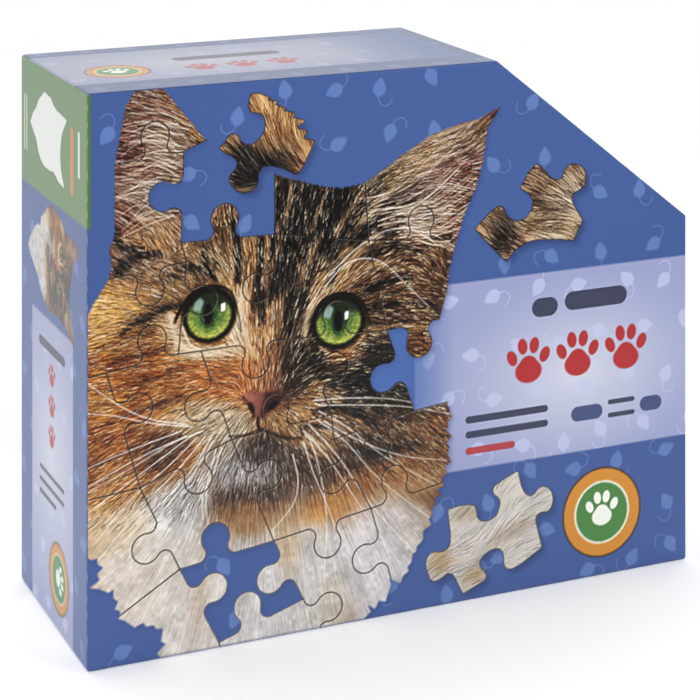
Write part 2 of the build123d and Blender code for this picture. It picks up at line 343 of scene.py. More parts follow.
def blurred(a, radius):
    """A box blur, twice, over a small number of samples each way."""
    span = 2 * radius + 1
    for _ in range(2):
        wide = np.pad(a, ((radius, radius), (0, 0)), mode="edge")
        a = sum(wide[k:k + a.shape[0]] for k in range(span)) / span
        wide = np.pad(a, ((0, 0), (radius, radius)), mode="edge")
        a = sum(wide[:, k:k + a.shape[1]] for k in range(span)) / span
    return a


def curve(*points, steps=14):
    """A smooth line through points (Catmull-Rom)."""
    p = [np.array(q, float) for q in points]
    p = [2 * p[0] - p[1]] + p + [2 * p[-1] - p[-2]]
    out = []
    for k in range(1, len(p) - 2):
        for s in range(steps):
            t = s / steps
            out.append(0.5 * (2 * p[k] + (p[k + 1] - p[k - 1]) * t
                              + (2 * p[k - 1] - 5 * p[k] + 4 * p[k + 1] - p[k + 2]) * t**2
                              + (3 * p[k] - p[k - 1] - 3 * p[k + 1] + p[k + 2]) * t**3))
    return out + [p[-2]]


# Which way the fur lies: at, direction.
LIE = [
    ((62, 95), (0, 1)), ((62, 112), (0, 1)), ((62, 128), (0, 1)), ((55, 140), (-0.2, 1)),
    ((82, 140), (0.1, 1)), ((90, 150), (0.25, 1)), ((45, 135), (-0.6, 0.8)), ((30, 131), (-0.8, 0.6)),
    ((20, 120), (-1, 0.2)), ((8, 112), (-1, -0.1)), ((25, 100), (-1, 0.05)), ((8, 95), (-1, 0)),
    ((20, 85), (-1, -0.25)), ((30, 75), (-0.9, -0.5)), ((42, 80), (-0.9, -0.35)), ((10, 68), (-1, -0.45)),
    ((50, 68), (-0.5, -0.8)), ((62, 62), (0, -1)), ((78, 70), (0.6, -0.8)), ((86, 78), (0.9, -0.4)),
    ((95, 95), (1, 0)), ((110, 100), (1, -0.2)), ((124, 115), (1, -0.3)), ((112, 126), (0.9, 0.35)),
    ((96, 130), (0.75, 0.65)), ((72, 95), (0.2, 1)), ((82, 92), (0.8, 0.3)), ((50, 98), (-0.9, 0.2)),
    ((125, 80), (0.9, -0.5)), ((130, 60), (0.8, -0.6)), ((110, 62), (0.7, -0.7)), ((92, 50), (0.35, -1)),
    ((70, 45), (0.1, -1)), ((50, 46), (-0.2, -1)), ((20, 50), (-0.7, -0.7)), ((6, 36), (-0.8, -0.5)),
    ((20, 20), (-0.55, -0.8)), ((40, 15), (-0.25, -1)), ((80, 20), (0.15, -1)), ((108, 25), (0.45, -0.9)),
    ((124, 32), (0.7, -0.75)), ((70, -30), (0, -1)), ((16, 188), (1, -0.25)), ((30, 186), (1, -0.45)),
    ((38, 184), (0.75, -0.7)), ((20, 168), (1, -0.15)), ((30, 172), (1, -0.1)), ((20, 154), (0.8, -0.5)),
    ((26, 145), (0.6, -0.8)), ((14, 140), (-0.8, 0.5)), ((110, 150), (0.8, 0.45)), ((125, 152), (1, 0.1)),
    ((138, 166), (1, 0.25)), ((150, 172), (0.8, 0.6)), ((145, 150), (0.95, -0.25)),
    ((125, 138), (1, 0.0)), ((132, 125), (0.6, -0.7)),
]


def lie_field(canvas):
    """The fur's direction at every sample, weighed between the places of LIE."""
    step = 8
    x, y = canvas.x[::step, ::step], canvas.y[::step, ::step]
    dx, dy = np.zeros(x.shape, np.float32), np.zeros(x.shape, np.float32)
    for (px, py), (vx, vy) in LIE:
        size = math.hypot(vx, vy)
        w = 1 / ((x - px) ** 2 + (y - py) ** 2 + 9) ** 1.6
        dx += w * vx / size
        dy += w * vy / size
    size = np.hypot(dx, dy) + 1e-12
    dx, dy = dx / size, dy / size
    rows, cols = canvas.h, canvas.w
    dx = np.repeat(np.repeat(dx, step, 0), step, 1)[:rows, :cols]
    dy = np.repeat(np.repeat(dy, step, 0), step, 1)[:rows, :cols]
    return dx, dy


def hair_samples(canvas, field, u, v, size, bend, steps):
    """The samples that hairs pass over from their roots, and how much of each sample they cover."""
    dx, dy = field
    places, weights = [], []
    for k in range(steps):
        t = k / (steps - 1)
        i = np.clip(u, 0, canvas.w - 2).astype(int)
        j = np.clip(v, 0, canvas.h - 2).astype(int)
        ax, ay = dx[j, i], dy[j, i]
        turn = bend * (1 - 1.6 * t)
        u = u + (ax - ay * turn) * size / steps
        v = v + (ay + ax * turn) * size / steps
        i = np.clip(u, 0, canvas.w - 2).astype(int)
        j = np.clip(v, 0, canvas.h - 2).astype(int)
        fu, fv = np.clip(u - i, 0, 1), np.clip(v - j, 0, 1)
        weight = (1 - t) ** 0.7 * 1.3
        for di, dj, share in ((0, 0, (1 - fu) * (1 - fv)), (1, 0, fu * (1 - fv)),
                              (0, 1, (1 - fu) * fv), (1, 1, fu * fv)):
            places.append((j + dj) * canvas.w + i + di)
            weights.append(share * weight)
    return np.concatenate(places), np.concatenate(weights)


def fur(canvas, field, rng, count, length, shade, opacity, where, tint=(1, 1, 1), curl=0.25):
    """Hairs that start in the colour of their root and follow the lie of the fur.
    shade is (middle, spread) of how much lighter a hair is than what it grows on."""
    u = rng.uniform(1, canvas.w - 2, count)
    v = rng.uniform(1, canvas.h - 2, count)
    keep = where[v.astype(int), u.astype(int)] > rng.uniform(0, 1, count)
    u, v = u[keep], v[keep]
    n = len(u)
    hair = canvas.rgb[v.astype(int), u.astype(int)]
    light = rng.normal(shade[0], shade[1], n)[:, None]
    tone = np.where(light > 0, hair + (1 - hair) * light, hair * (1 + light))
    tone = np.clip(tone * np.asarray(tint), 0, 1)
    size = rng.uniform(0.5, 1.3, n) * length * canvas.per_mm
    bend = rng.normal(0, curl, n)
    steps = max(4, int(length * canvas.per_mm * 1.1))
    places, weights = hair_samples(canvas, field, u, v, size, bend, steps)
    total = canvas.w * canvas.h
    cover = np.bincount(places, weights, total)
    paint = [np.bincount(places, weights * np.tile(tone[:, ch], 4 * steps), total) for ch in range(3)]
    share = (np.clip(cover, 0, 1) * opacity).reshape(canvas.h, canvas.w, 1)
    colour = (np.array(paint) / np.maximum(cover, 1e-6)).T.reshape(canvas.h, canvas.w, 3)
    canvas.rgb += ((colour - canvas.rgb) * share).astype(np.float32)


def patches(canvas, rng, size):
    """Smooth noise about zero, in patches of about the given size."""
    cells = (int(canvas.h / canvas.per_mm / size) + 3, int(canvas.w / canvas.per_mm / size) + 3)
    grid = rng.normal(0, 0.5, cells)
    u = (canvas.x - canvas.low[0]) / size
    v = (canvas.y - canvas.low[1]) / size
    i, j = u.astype(int), v.astype(int)
    fu, fv = u - i, v - j
    fu, fv = fu * fu * (3 - 2 * fu), fv * fv * (3 - 2 * fv)
    return ((grid[j, i] * (1 - fu) + grid[j, i + 1] * fu) * (1 - fv)
            + (grid[j + 1, i] * (1 - fu) + grid[j + 1, i + 1] * fu) * fv)


def darkness(canvas):
    """How near to black each sample is."""
    return np.clip(1.25 - 4.5 * canvas.rgb.mean(-1), 0, 1)


def mottled(canvas, rng, size, amount):
    """Uneven light and dark."""
    value = 1 + amount * 2 * patches(canvas, rng, size)
    canvas.rgb *= np.clip(value, 0, 2)[..., None].astype(np.float32)


# Fur colours
ORANGE, TAN, CREAM = (0.66, 0.43, 0.22), (0.63, 0.50, 0.36), (0.88, 0.80, 0.70)
BROWN, DARK, BLACK = (0.38, 0.27, 0.18), (0.20, 0.15, 0.11), (0.07, 0.06, 0.055)
WHITE, GREY = (0.74, 0.73, 0.725), (0.60, 0.58, 0.58)
RUST, GOLD = (0.38, 0.20, 0.16), (0.78, 0.59, 0.38)

# Broad patches of the coat, painted in order: at, radii, turn, colour, edge, amount.
COAT = [
    ((62, 0), (68, 46), 0, WHITE, 0.3, 1), ((20, 100), (42, 45), 0, ORANGE, 0.5, 1),
    ((10, 122), (17, 13), -20, GOLD, 0.5, 0.9), ((8, 105), (12, 16), 0, ORANGE, 0.6, 0.8),
    ((24, 96), (16, 9), 10, (0.64, 0.42, 0.22), 0.6, 0.6),
    ((8, 118), (13, 9), -15, (0.84, 0.66, 0.43), 0.6, 0.7),
    ((4, 92), (8, 8), 0, (0.74, 0.54, 0.33), 0.7, 0.6),
    ((20, 104), (10, 5), 0, (0.56, 0.36, 0.19), 0.7, 0.6),
    ((34, 84), (10, 5), 15, (0.44, 0.27, 0.14), 0.7, 0.5), ((14, 110), (12, 6), 10, DARK, 0.8, 0.25),
    ((26, 120), (11, 3.5), 20, DARK, 0.8, 0.6), ((110, 110), (32, 34), 0, BROWN, 0.45, 1),
    ((106, 92), (20, 16), -10, DARK, 0.5, 0.85), ((116, 84), (14, 14), -30, BLACK, 0.6, 0.42),
    ((85, 148), (22, 17), 0, BLACK, 0.5, 0.78), ((122, 128), (16, 12), 20, (0.40, 0.27, 0.18), 0.6, 0.8),
    ((132, 118), (9, 14), 0, BROWN, 0.6, 0.8), ((126, 96), (9, 9), 0, (0.48, 0.33, 0.20), 0.6, 0.8),
    ((98, 130), (13, 8), 35, TAN, 0.6, 0.6), ((118, 118), (12, 7), 0, BROWN, 0.7, 0.5),
    ((108, 140), (9, 8), 0, BLACK, 0.7, 0.6), ((60, 128), (14, 20), 0, TAN, 0.5, 0.9),
    ((40, 134), (15, 7), 25, (0.40, 0.33, 0.25), 0.6, 0.8),
    ((30, 128), (10, 5), 10, (0.60, 0.50, 0.36), 0.7, 0.7),
    ((22, 145), (13, 13), 0, (0.62, 0.47, 0.31), 0.5, 0.9),
    ((13, 138), (7, 6), 0, (0.30, 0.24, 0.20), 0.7, 0.8),
    ((32, 140), (10, 5), 0, (0.50, 0.38, 0.26), 0.7, 0.6),
    ((60, 108), (10, 22), 0, (0.74, 0.56, 0.40), 0.5, 0.9),
    ((48, 96), (12, 8), -10, (0.66, 0.43, 0.25), 0.5, 0.9),
    ((36, 96), (9, 6), 0, (0.70, 0.47, 0.26), 0.6, 0.7), ((54, 113), (4, 10), 8, CREAM, 0.7, 0.8),
    ((81, 112), (4.5, 10), -20, CREAM, 0.7, 0.75), ((87, 119), (7, 4), 25, (0.74, 0.62, 0.50), 0.7, 0.6),
    ((33, 112), (5, 9), 35, CREAM, 0.7, 0.7), ((44, 104), (12, 2.6), -8, CREAM, 0.8, 0.75),
    ((101, 101), (10, 3), 30, (0.60, 0.47, 0.33), 0.7, 0.6),
    ((92, 96.5), (10, 2), 0, (0.64, 0.44, 0.28), 0.7, 0.6),
    ((76, 100), (6, 15), -12, (0.30, 0.24, 0.19), 0.6, 0.9),
    ((74, 118), (5, 14), 0, (0.36, 0.29, 0.22), 0.6, 0.6), ((82, 95), (6, 8), 20, BLACK, 0.7, 0.7),
    ((76, 90), (6, 7), 0, (0.24, 0.18, 0.14), 0.6, 0.8),
    ((66, 118), (6, 12), 0, (0.70, 0.55, 0.42), 0.6, 0.7),
    ((60, 92), (7, 7), 0, (0.72, 0.46, 0.28), 0.6, 0.8),
    ((67, 93), (5, 7), 0, (0.62, 0.44, 0.32), 0.6, 0.6),
    # muzzle and chin
    ((45, 80), (16, 7), -12, (0.78, 0.70, 0.60), 0.5, 0.95),
    ((34, 82), (8, 5), 10, (0.74, 0.62, 0.48), 0.6, 0.7),
    ((53, 76), (9, 4.5), 0, (0.69, 0.62, 0.53), 0.5, 0.85),
    ((80, 74), (15, 8), -18, (0.62, 0.48, 0.34), 0.5, 0.95),
    ((86, 84), (7, 6), 0, (0.58, 0.44, 0.30), 0.6, 0.7),
    ((96, 78), (9, 6), -20, (0.34, 0.28, 0.22), 0.7, 0.8),
    ((100, 70), (10, 5), -20, (0.52, 0.42, 0.31), 0.7, 0.7),
    ((88, 67), (10, 6.5), -20, (0.62, 0.50, 0.38), 0.6, 0.85),
    ((26, 72), (11, 7), 20, (0.32, 0.21, 0.14), 0.6, 0.85),
    ((12, 70), (9, 6), 0, (0.72, 0.52, 0.32), 0.7, 0.6),
    ((14, 80), (12, 4), -8, (0.46, 0.30, 0.18), 0.7, 0.5),
    ((30, 88), (10, 4), 0, (0.62, 0.46, 0.30), 0.7, 0.5),
    ((50, 65), (11, 8), 0, (0.66, 0.63, 0.60), 0.5, 0.85), ((60, 60), (14, 8), -5, GREY, 0.5, 0.95),
    ((64, 68), (9, 5), 0, (0.26, 0.23, 0.22), 0.6, 0.8),
    ((74, 61), (7, 7), -30, (0.34, 0.30, 0.27), 0.6, 0.7),
    ((58, 51), (16, 5), -6, (0.27, 0.22, 0.19), 0.6, 0.85),
    ((80, 56), (9, 6), 0, (0.30, 0.24, 0.19), 0.6, 0.7),
    # ruff and chest
    ((60, 44), (15, 6), -5, (0.56, 0.43, 0.31), 0.6, 0.85), ((24, 44), (20, 16), 20, WHITE, 0.4, 0.97),
    ((8, 48), (14, 12), 0, (0.84, 0.73, 0.60), 0.5, 0.8),
    ((12, 60), (13, 5), 6, (0.72, 0.53, 0.35), 0.6, 0.8), ((38, 56), (7, 7), 0, WHITE, 0.5, 0.8),
    ((46, 36), (6, 9), 0, (0.74, 0.66, 0.57), 0.6, 0.7),
    ((20, 27), (20, 15), 0, (0.77, 0.73, 0.69), 0.5, 0.9),
    ((38, 12), (14, 22), 0, (0.76, 0.735, 0.71), 0.5, 0.95),
    ((41, 20), (3, 12), -10, (0.66, 0.58, 0.50), 0.7, 0.5), ((88, 20), (22, 26), 0, WHITE, 0.5, 0.97),
    ((74, 34), (5, 10), 0, (0.70, 0.60, 0.48), 0.6, 0.7),
    ((92, 44), (16, 6), 5, (0.66, 0.47, 0.29), 0.6, 0.9),
    ((112, 50), (16, 8), 10, (0.58, 0.42, 0.27), 0.6, 0.85),
    ((104, 62), (13, 6), 0, (0.26, 0.19, 0.14), 0.6, 0.85),
    ((120, 66), (12, 7), -10, (0.38, 0.28, 0.19), 0.6, 0.8),
    ((132, 62), (8, 9), 0, (0.50, 0.37, 0.24), 0.6, 0.8),
    ((130, 48), (9, 6), 0, (0.62, 0.50, 0.38), 0.6, 0.7),
    ((112, 24), (17, 20), 0, (0.74, 0.73, 0.74), 0.5, 0.9),
    ((90, 8), (5, 12), -15, (0.66, 0.60, 0.52), 0.8, 0.5), ((70, -25), (40, 26), 0, WHITE, 0.4, 0.97),
    ((96, 2), (4, 8), -30, (0.62, 0.54, 0.44), 0.8, 0.5),
    ((124, 32), (7, 7), 0, (0.72, 0.67, 0.63), 0.7, 0.6),
    # ears
    ((22, 170), (17, 38), 0, (0.56, 0.47, 0.42), 0.4, 1), ((13, 178), (6, 10), 15, RUST, 0.6, 0.8),
    ((12, 153), (5, 8), 0, (0.46, 0.28, 0.20), 0.6, 0.7),
    ((22, 192), (9, 8), 0, (0.50, 0.38, 0.32), 0.6, 0.8),
    ((19, 171), (6, 4), 0, (0.50, 0.33, 0.26), 0.7, 0.7),
    ((35, 188), (4, 14), 38, (0.58, 0.42, 0.27), 0.6, 0.9),
    ((27, 180), (9, 7), 0, (0.60, 0.50, 0.42), 0.6, 0.7),
    ((24, 148), (9, 7), -30, (0.64, 0.48, 0.32), 0.6, 0.8),
    ((28, 164), (9, 9), 0, (0.56, 0.47, 0.40), 0.6, 0.7),
    ((130, 156), (26, 18), 20, (0.50, 0.40, 0.36), 0.5, 1),
    ((143, 152), (9, 13), 0, (0.42, 0.27, 0.23), 0.6, 0.8),
    ((140, 170), (13, 6), 10, (0.60, 0.50, 0.42), 0.6, 0.8),
    ((154, 176), (6, 5), 30, (0.44, 0.28, 0.18), 0.7, 0.8), ((112, 154), (9, 8), 0, BLACK, 0.7, 0.8),
    ((122, 162), (14, 4), 32, (0.66, 0.55, 0.40), 0.7, 0.8),
    ((126, 143), (10, 5), 0, (0.62, 0.56, 0.50), 0.7, 0.5),
    ((140, 138), (7, 5), 0, (0.44, 0.26, 0.20), 0.7, 0.7), ((113, 143), (8, 5), 0, DARK, 0.7, 0.7),
]

# Dark stripes of the coat: width, then points.
DARK_STRIPES = [
    (4.5, (56, 128), (56, 135), (55, 142), (53, 150)), (4.0, (62, 118), (63, 128), (64, 136), (64, 146)),
    (5.5, (70, 122), (73, 134), (75, 148), (76, 164)), (6.0, (88, 134), (91, 146), (94, 160)),
    (3.0, (47, 129), (44, 134), (42, 141)), (4.0, (74, 108), (75, 120), (76, 132), (78, 150)),
    (5.0, (79, 116), (81, 128), (83, 140), (86, 156)), (3.0, (68, 134), (69, 144), (70, 158)),
    (4.5, (90, 124), (93, 134), (95, 145), (97, 156)), (2.6, (64, 112), (65, 122), (66, 131)),
    (3.0, (104, 118), (112, 121), (122, 122)), (2.6, (106, 112), (116, 113), (128, 112)),
    (3.4, (104, 98), (112, 97), (120, 98)), (3.4, (100, 88), (110, 86), (118, 80)),
    (2.2, (36, 121), (28, 121), (20, 118), (12, 114)), (3.0, (92, 90), (102, 84), (112, 76)),
    (3.0, (100, 62), (112, 60), (126, 62)), (2.0, (84, 78), (90, 79), (98, 76)),
    (2.0, (78, 73), (86, 73), (94, 70)), (3.2, (31, 132), (38, 134), (45, 131)),
    (2.6, (67, 118), (68, 126), (70, 133)), (4.0, (12, 136), (18, 140), (26, 141)),
    (3.0, (10, 150), (13, 144), (20, 143)), (4.0, (100, 137), (108, 142), (116, 146)),
    (3.0, (106, 131), (116, 133), (126, 131)), (4.0, (84, 99), (86, 92), (92, 86)),
    (5.0, (104, 92), (98, 80), (108, 70)),
]
# Light ticking between the dark stripes.
LIGHT_STRIPES = [
    (2.6, (57, 124), (57.4, 132), (57.8, 141)), (2.2, (64.6, 124), (66, 134), (66.6, 142)),
    (2.4, (49, 129), (48.4, 136), (47, 141)), (2.0, (73, 146), (74.6, 154), (75, 162)),
    (2.4, (83, 143), (87, 151), (90, 156)), (2.6, (92, 140), (98, 148), (104, 155)),
    (2.8, (101, 142), (109, 150), (118, 156)), (3.0, (79, 124), (82, 132), (87, 140)),
    (3.4, (92, 121), (98, 130), (106, 137)), (2.6, (84, 120), (90, 127), (95, 134)),
    (2.2, (38, 130), (33, 133), (26, 134)), (2.0, (40, 137), (34, 140), (28, 141)),
    (2.6, (108, 104), (116, 105), (126, 103)), (2.2, (104, 127), (113, 127), (124, 125)),
    (2.4, (118, 90), (124, 84), (130, 78)), (2.2, (14, 146), (20, 150), (28, 148)),
]
# Brown bands on the orange cheek.
CHEEK_BANDS = [
    (3.0, (30, 108), (20, 106), (8, 104)), (2.6, (34, 100), (22, 97), (4, 96)),
    (3.4, (34, 90), (22, 88), (6, 84)), (2.6, (20, 76), (10, 72), (-4, 70)),
    (2.4, (26, 114), (16, 113), (4, 110)),
]


def paint_eye(c, at, iris, pupil, glint, tilt, rng):
    """One eye: thin dark rim, speckled green iris with a darker edge, upright pupil and glints."""
    x, y = at
    c.blob((x, y + 0.5), (iris[0] + 1.7, iris[1] + 1.5), (0.09, 0.07, 0.06), tilt, 0.16)
    c.blob((x, y), (iris[0] + 0.5, iris[1] + 0.4), (0.04, 0.04, 0.035), 0, 0.08)
    win = c.window(x - 12, y - 12, x + 12, y + 12)
    dx, dy = c.x[win] - x, c.y[win] - y
    d = np.hypot(dx / iris[0], dy / iris[1])
    angle = np.arctan2(dy, dx)
    rays = 0.5 + 0.22 * np.sin(angle * 37 + 3 * np.sin(angle * 9)) + 0.22 * np.sin(angle * 71 + d * 5)
    speck = blurred(rng.normal(0, 1, d.shape), 1)
    low = np.clip((-dy / iris[1] + 0.6) * 0.75, 0, 1)[..., None]
    inner = np.clip(1 - d * 1.15, 0, 1)[..., None]
    green = np.array((0.44, 0.50, 0.30)) + low * np.array((0.20, 0.17, 0.06))
    green = green + (np.array((0.20, 0.36, 0.20)) - green) * inner * 0.9
    green = green * (0.86 + 0.20 * rays[..., None] * np.clip(d * 1.4, 0, 1)[..., None])
    green = green * (1 + 0.22 * speck[..., None])
    edge = np.clip((d - 0.86) / 0.14, 0, 1)[..., None]
    green = green * (1 - 0.70 * edge)
    cover = np.clip((1 - d) * iris[0] * c.per_mm / 2 + 0.5, 0, 1)
    part = c.rgb[win]
    part += ((green - part) * cover[..., None]).astype(np.float32)
    lid_shadow = np.clip((dy / iris[1] - 0.15) * 1.6, 0, 0.72) * cover
    c.lay(win, (0.10, 0.12, 0.10), lid_shadow)
    c.blob((x + pupil[0], y + 0.6), (pupil[1] + 0.9, pupil[2] + 1.3), (0.12, 0.22, 0.14), 0, 0.5, 0.7)
    c.blob((x + pupil[0], y + 0.6), (pupil[1], pupil[2]), (0.03, 0.035, 0.035), 0, 0.12)
    sheen = ((-6.2, 2.6), (-3.4, 1.6), (-1.8, 5.2), (-3.4, 6.6), (-5.2, 5.4))
    c.area([(x + u, y + v) for u, v in sheen], (0.62, 0.68, 0.70), 0.75, 2)
    spark = ((-0.9, -1.6), (0.9, -1.2), (0.9, 1.5), (-0.7, 1.2))
    c.area([(glint[0] + u, glint[1] + v) for u, v in spark], (0.95, 0.97, 0.98), 0.9)


# Whiskers, each from its root to its tip.
WHISKERS = [
    ((36, 80), (22, 84), (10, 91), (-6, 104)), ((38, 79), (24, 82), (8, 87), (-8, 90)),
    ((34, 78), (20, 75), (4, 71), (-10, 66)), ((36, 76), (22, 72), (6, 66), (-10, 58)),
    ((38, 76), (24, 68), (8, 59), (-8, 50)), ((40, 75), (30, 67), (16, 57), (2, 43)),
    ((43, 75), (34, 66), (20, 54), (4, 38)), ((45, 74), (36, 62), (24, 52), (12, 42)),
    ((46, 73), (38, 62), (28, 52), (14, 36)), ((42, 77), (30, 74), (14, 67), (-2, 61)),
    ((47, 70), (44, 60), (43, 52), (44, 44)), ((49, 70), (46, 62), (42, 54), (42, 46)),
    ((84, 82), (98, 81), (112, 79), (124, 76)), ((86, 80), (102, 78), (120, 75), (138, 70)),
    ((86, 78), (98, 70), (112, 58), (132, 45)), ((84, 76), (96, 66), (110, 50), (130, 33)),
    ((82, 74), (94, 60), (106, 42), (124, 21)), ((80, 72), (90, 60), (102, 42), (118, 18)),
    ((88, 74), (104, 64), (120, 57), (137, 53)), ((82, 70), (86, 58), (89, 40), (88, 16)),
    ((80, 68), (84, 56), (90, 42), (96, 24)), ((76, 64), (78, 54), (76, 46), (68, 38)),
    ((88, 122), (98, 130), (110, 129), (122, 118), (130, 110)),
    ((90, 126), (100, 134), (114, 140), (130, 137), (142, 130)),
]


def paint_fur(c, field, ruff, rng):
    """Layers of hair: short and ticked on the face, long in the ears, long and white on the ruff."""
    x, y = c.x, c.y
    face = 1 - ruff
    agouti = np.maximum(ramp(x, 64, 84) * ramp(y, 60, 80), ramp(y, 122, 134) * ramp(x, 34, 46))
    agouti *= 1 - 0.7 * ramp(y, 150, 160) * ramp(x, 110, 120)
    ears = ramp(y, 150, 158) * (ramp(x, 40, 34) + ramp(x, 112, 122))
    ears += 0.6 * ramp(y, 136, 142) * ramp(x, 116, 124)
    ears = np.clip(ears, 0, 1)
    dark = darkness(c)
    clumps = np.clip(0.35 + 2.2 * patches(c, rng, 2.4), 0, 1)
    # count, length, shade, opacity, where, tint, curl
    for layer in (
            (60000, 4.0, (-0.34, 0.18), 0.6, face),
            (60000, 3.6, (0.00, 0.24), 0.8, face),
            (30000, 3.4, (0.50, 0.14), 0.85, agouti * clumps * (1 - 0.75 * dark), (1.0, 0.92, 0.80)),
            (26000, 3.4, (-0.70, 0.12), 0.85, agouti * (1 - clumps) + 0.05 * face),
            (16000, 3.0, (0.26, 0.12), 0.7, face, (1.0, 0.97, 0.92)),
            (14000, 4.0, (-0.42, 0.12), 0.6, np.clip(1 - ruff - agouti, 0, 1) * (1 - clumps)),
            (9000, 11.0, (-0.34, 0.12), 0.62, ears * 0.8, (1.0, 0.88, 0.83), 0.12),
            (10000, 12.0, (0.42, 0.15), 0.68, ears * clumps, (1.0, 0.96, 0.93), 0.14),
            (26000, 10.0, (0.10, 0.09), 0.6, ruff, (1, 0.99, 0.98), 0.12),
            (12000, 10.0, (-0.08, 0.03), 0.6, ruff * (1 - clumps), (1, 0.98, 0.95), 0.12)):
        fur(c, field, rng, *layer)


def paint_ear_tufts(c, rng, count=44):
    """Long loose hairs that cross both ears."""
    for k in range(count):
        t, sway = k / (count - 1), rng.uniform(-1, 1, 6)
        a = (104 + 22 * t + sway[0] * 3, 150 - 14 * t + sway[1] * 3)
        b = (136 + 14 * math.sin(2.4 * t) + sway[2] * 3, 170 - 34 * t + sway[3] * 3)
        bow = ((a[0] + b[0]) / 2 + 2 * sway[4], (a[1] + b[1]) / 2 - 4 + 2 * sway[5])
        c.line(curve(a, bow, b), 0.55, (0.80, 0.73, 0.66), 0.30 + 0.35 * abs(sway[4]), 0.2, 0.2)
        a = (35 - 5 * t + sway[0] * 3, 184 - 32 * t + sway[1] * 2)
        b = (14 + sway[2] * 4, 188 - 38 * t + sway[3] * 4)
        bow = ((a[0] + b[0]) / 2 + 2 * sway[5], (a[1] + b[1]) / 2 + 2.5 + 1.5 * sway[4])
        c.line(curve(a, bow, b), 0.5, (0.80, 0.74, 0.68), 0.30 + 0.35 * abs(sway[5]), 0.2, 0.2)


def paint_nose(c):
    """The nose with its shaded right half and nostrils, and the mouth below."""
    nose = curve((56.5, 87.4), (59, 84.6), (60.6, 80.8), (62.4, 77.8), (65.5, 79.4), (69.6, 81.6),
                 (73.6, 85.4), (69.6, 87.6), (64, 88.0), (60, 88.6), (56.5, 87.4))
    shaded = curve((65, 87.4), (64.4, 82), (63, 78.4), (66.5, 80), (70.5, 82.4), (73.6, 85.6), (70, 87),
                   (65, 87.4))
    c.area(nose, (0.50, 0.34, 0.31), 0.85, 4)
    c.area(shaded, (0.24, 0.13, 0.11), 0.8, 4)
    c.blob((59.6, 86.6), (2.4, 1.3), (0.62, 0.43, 0.39), -30, 0.7, 0.7)
    c.blob((60.2, 82.6), (1.0, 2.0), (0.13, 0.07, 0.06), 25, 0.6, 0.9)
    c.blob((68.2, 82.4), (2.3, 1.1), (0.07, 0.04, 0.04), 30, 0.6, 0.9)
    c.line(curve((57.0, 86.8), (59.4, 83.6), (61.2, 79.6)), 0.8, (0.20, 0.11, 0.09), 0.6, 0.5)
    c.line([(62.6, 78.6), (62.6, 76.4), (63.4, 74.4)], 1.0, (0.12, 0.09, 0.08), 0.85, 0.4)
    c.line(curve((63.4, 74.6), (58, 73.4), (51.9, 73.6)), 0.6, (0.22, 0.18, 0.16), 0.8, 0.4)
    c.line(curve((63.4, 74.6), (68, 72.6), (73, 70.2), (79, 69.2)), 0.9, (0.12, 0.10, 0.09), 0.7, 0.6)


def paint_eyes(c, rng):
    """Both eyes, their dark lids and the pale fur about them."""
    left_eye, right_eye = (44.4, 117), (93.8, 108.8)
    paint_eye(c, left_eye, (8.7, 8.5), (-0.4, 1.7, 3.6), (49.6, 119.4), -25, rng)
    paint_eye(c, right_eye, (9.3, 8.3), (-0.2, 1.6, 3.8), (97.0, 111.0), 10, rng)
    lids = ((left_eye, ((-13, -1), (-9.6, 5), (-5, 9), (2, 10.2), (8, 7.4), (11, -1), (12, -7))),
            (right_eye, ((-14, -8), (-11, -1), (-7, 7.6), (1, 10.4), (9, 6.6), (12.5, -2))))
    for (x, y), lid in lids:
        c.line(curve(*[(x + dx, y + dy) for dx, dy in lid]), 1.3, (0.06, 0.05, 0.045), 0.8, 0.35, 0.5)
    for points, width, colour, soft, tip in (
            (((57.0, 124), (56.6, 116), (58, 108), (62, 100)), 3.4, (0.84, 0.76, 0.66), 1.2, 1.0),
            (((80.5, 104), (81.5, 112), (85.5, 118.5), (92, 122)), 2.6, (0.80, 0.71, 0.60), 1.0, 1.0),
            (((30, 119), (33, 109), (41, 104.2), (50, 104)), 2.0, (0.86, 0.78, 0.67), 0.9, 2.0)):
        c.line(curve(*points), width, colour, 0.6, soft, tip)
    c.line(curve((34.5, 114), (37.5, 107.6), (43, 105.2), (50, 106)), 0.8, (0.88, 0.80, 0.68), 0.7, 0.4)
    c.line(curve((86, 101), (92, 97.6), (99, 99), (104, 103)), 0.8, (0.66, 0.52, 0.40), 0.7, 0.4)


def paint_head(c, rng):
    """The cat's head on its own canvas, whole and without cut lines."""
    for at, radii, turn, colour, edge, amount in COAT:
        c.blob(at, radii, colour, turn, edge, amount)
    for stripes, colour, amount, soft in ((DARK_STRIPES, BLACK, 0.80, 0.7),
                                          (CHEEK_BANDS, (0.36, 0.21, 0.11), 0.60, 0.9),
                                          (LIGHT_STRIPES, (0.66, 0.54, 0.40), 0.75, 0.7)):
        for width, *points in stripes:
            c.line(curve(*points), width, colour, amount, soft, width / 2)
    mottled(c, rng, 5.0, 0.06)
    mottled(c, rng, 1.6, 0.06)
    field = lie_field(c)
    ruff = ramp(c.y, 58, 46)
    paint_fur(c, field, ruff, rng)
    paint_ear_tufts(c, rng)
    paint_nose(c)
    paint_eyes(c, rng)
    fur(c, field, rng, 2500, 2.4, (0.1, 0.2), 0.5, 1 - ruff)
    c.rgb = punchy(c.rgb)
    crisp(c)
    for points in WHISKERS:
        c.line(curve(*points), 0.46, (0.95, 0.93, 0.90), 0.85, 0.16, 0.22)
    # the fur that edges the ears
    c.line(curve((46, 176), (36, 189), (28, 198)), 1.6, (0.74, 0.55, 0.34), 0.55, 0.6)
    c.line(curve((104, 157), (118, 165), (132, 172.6), (150, 176.6)), 1.4, (0.70, 0.60, 0.46), 0.6, 0.6)


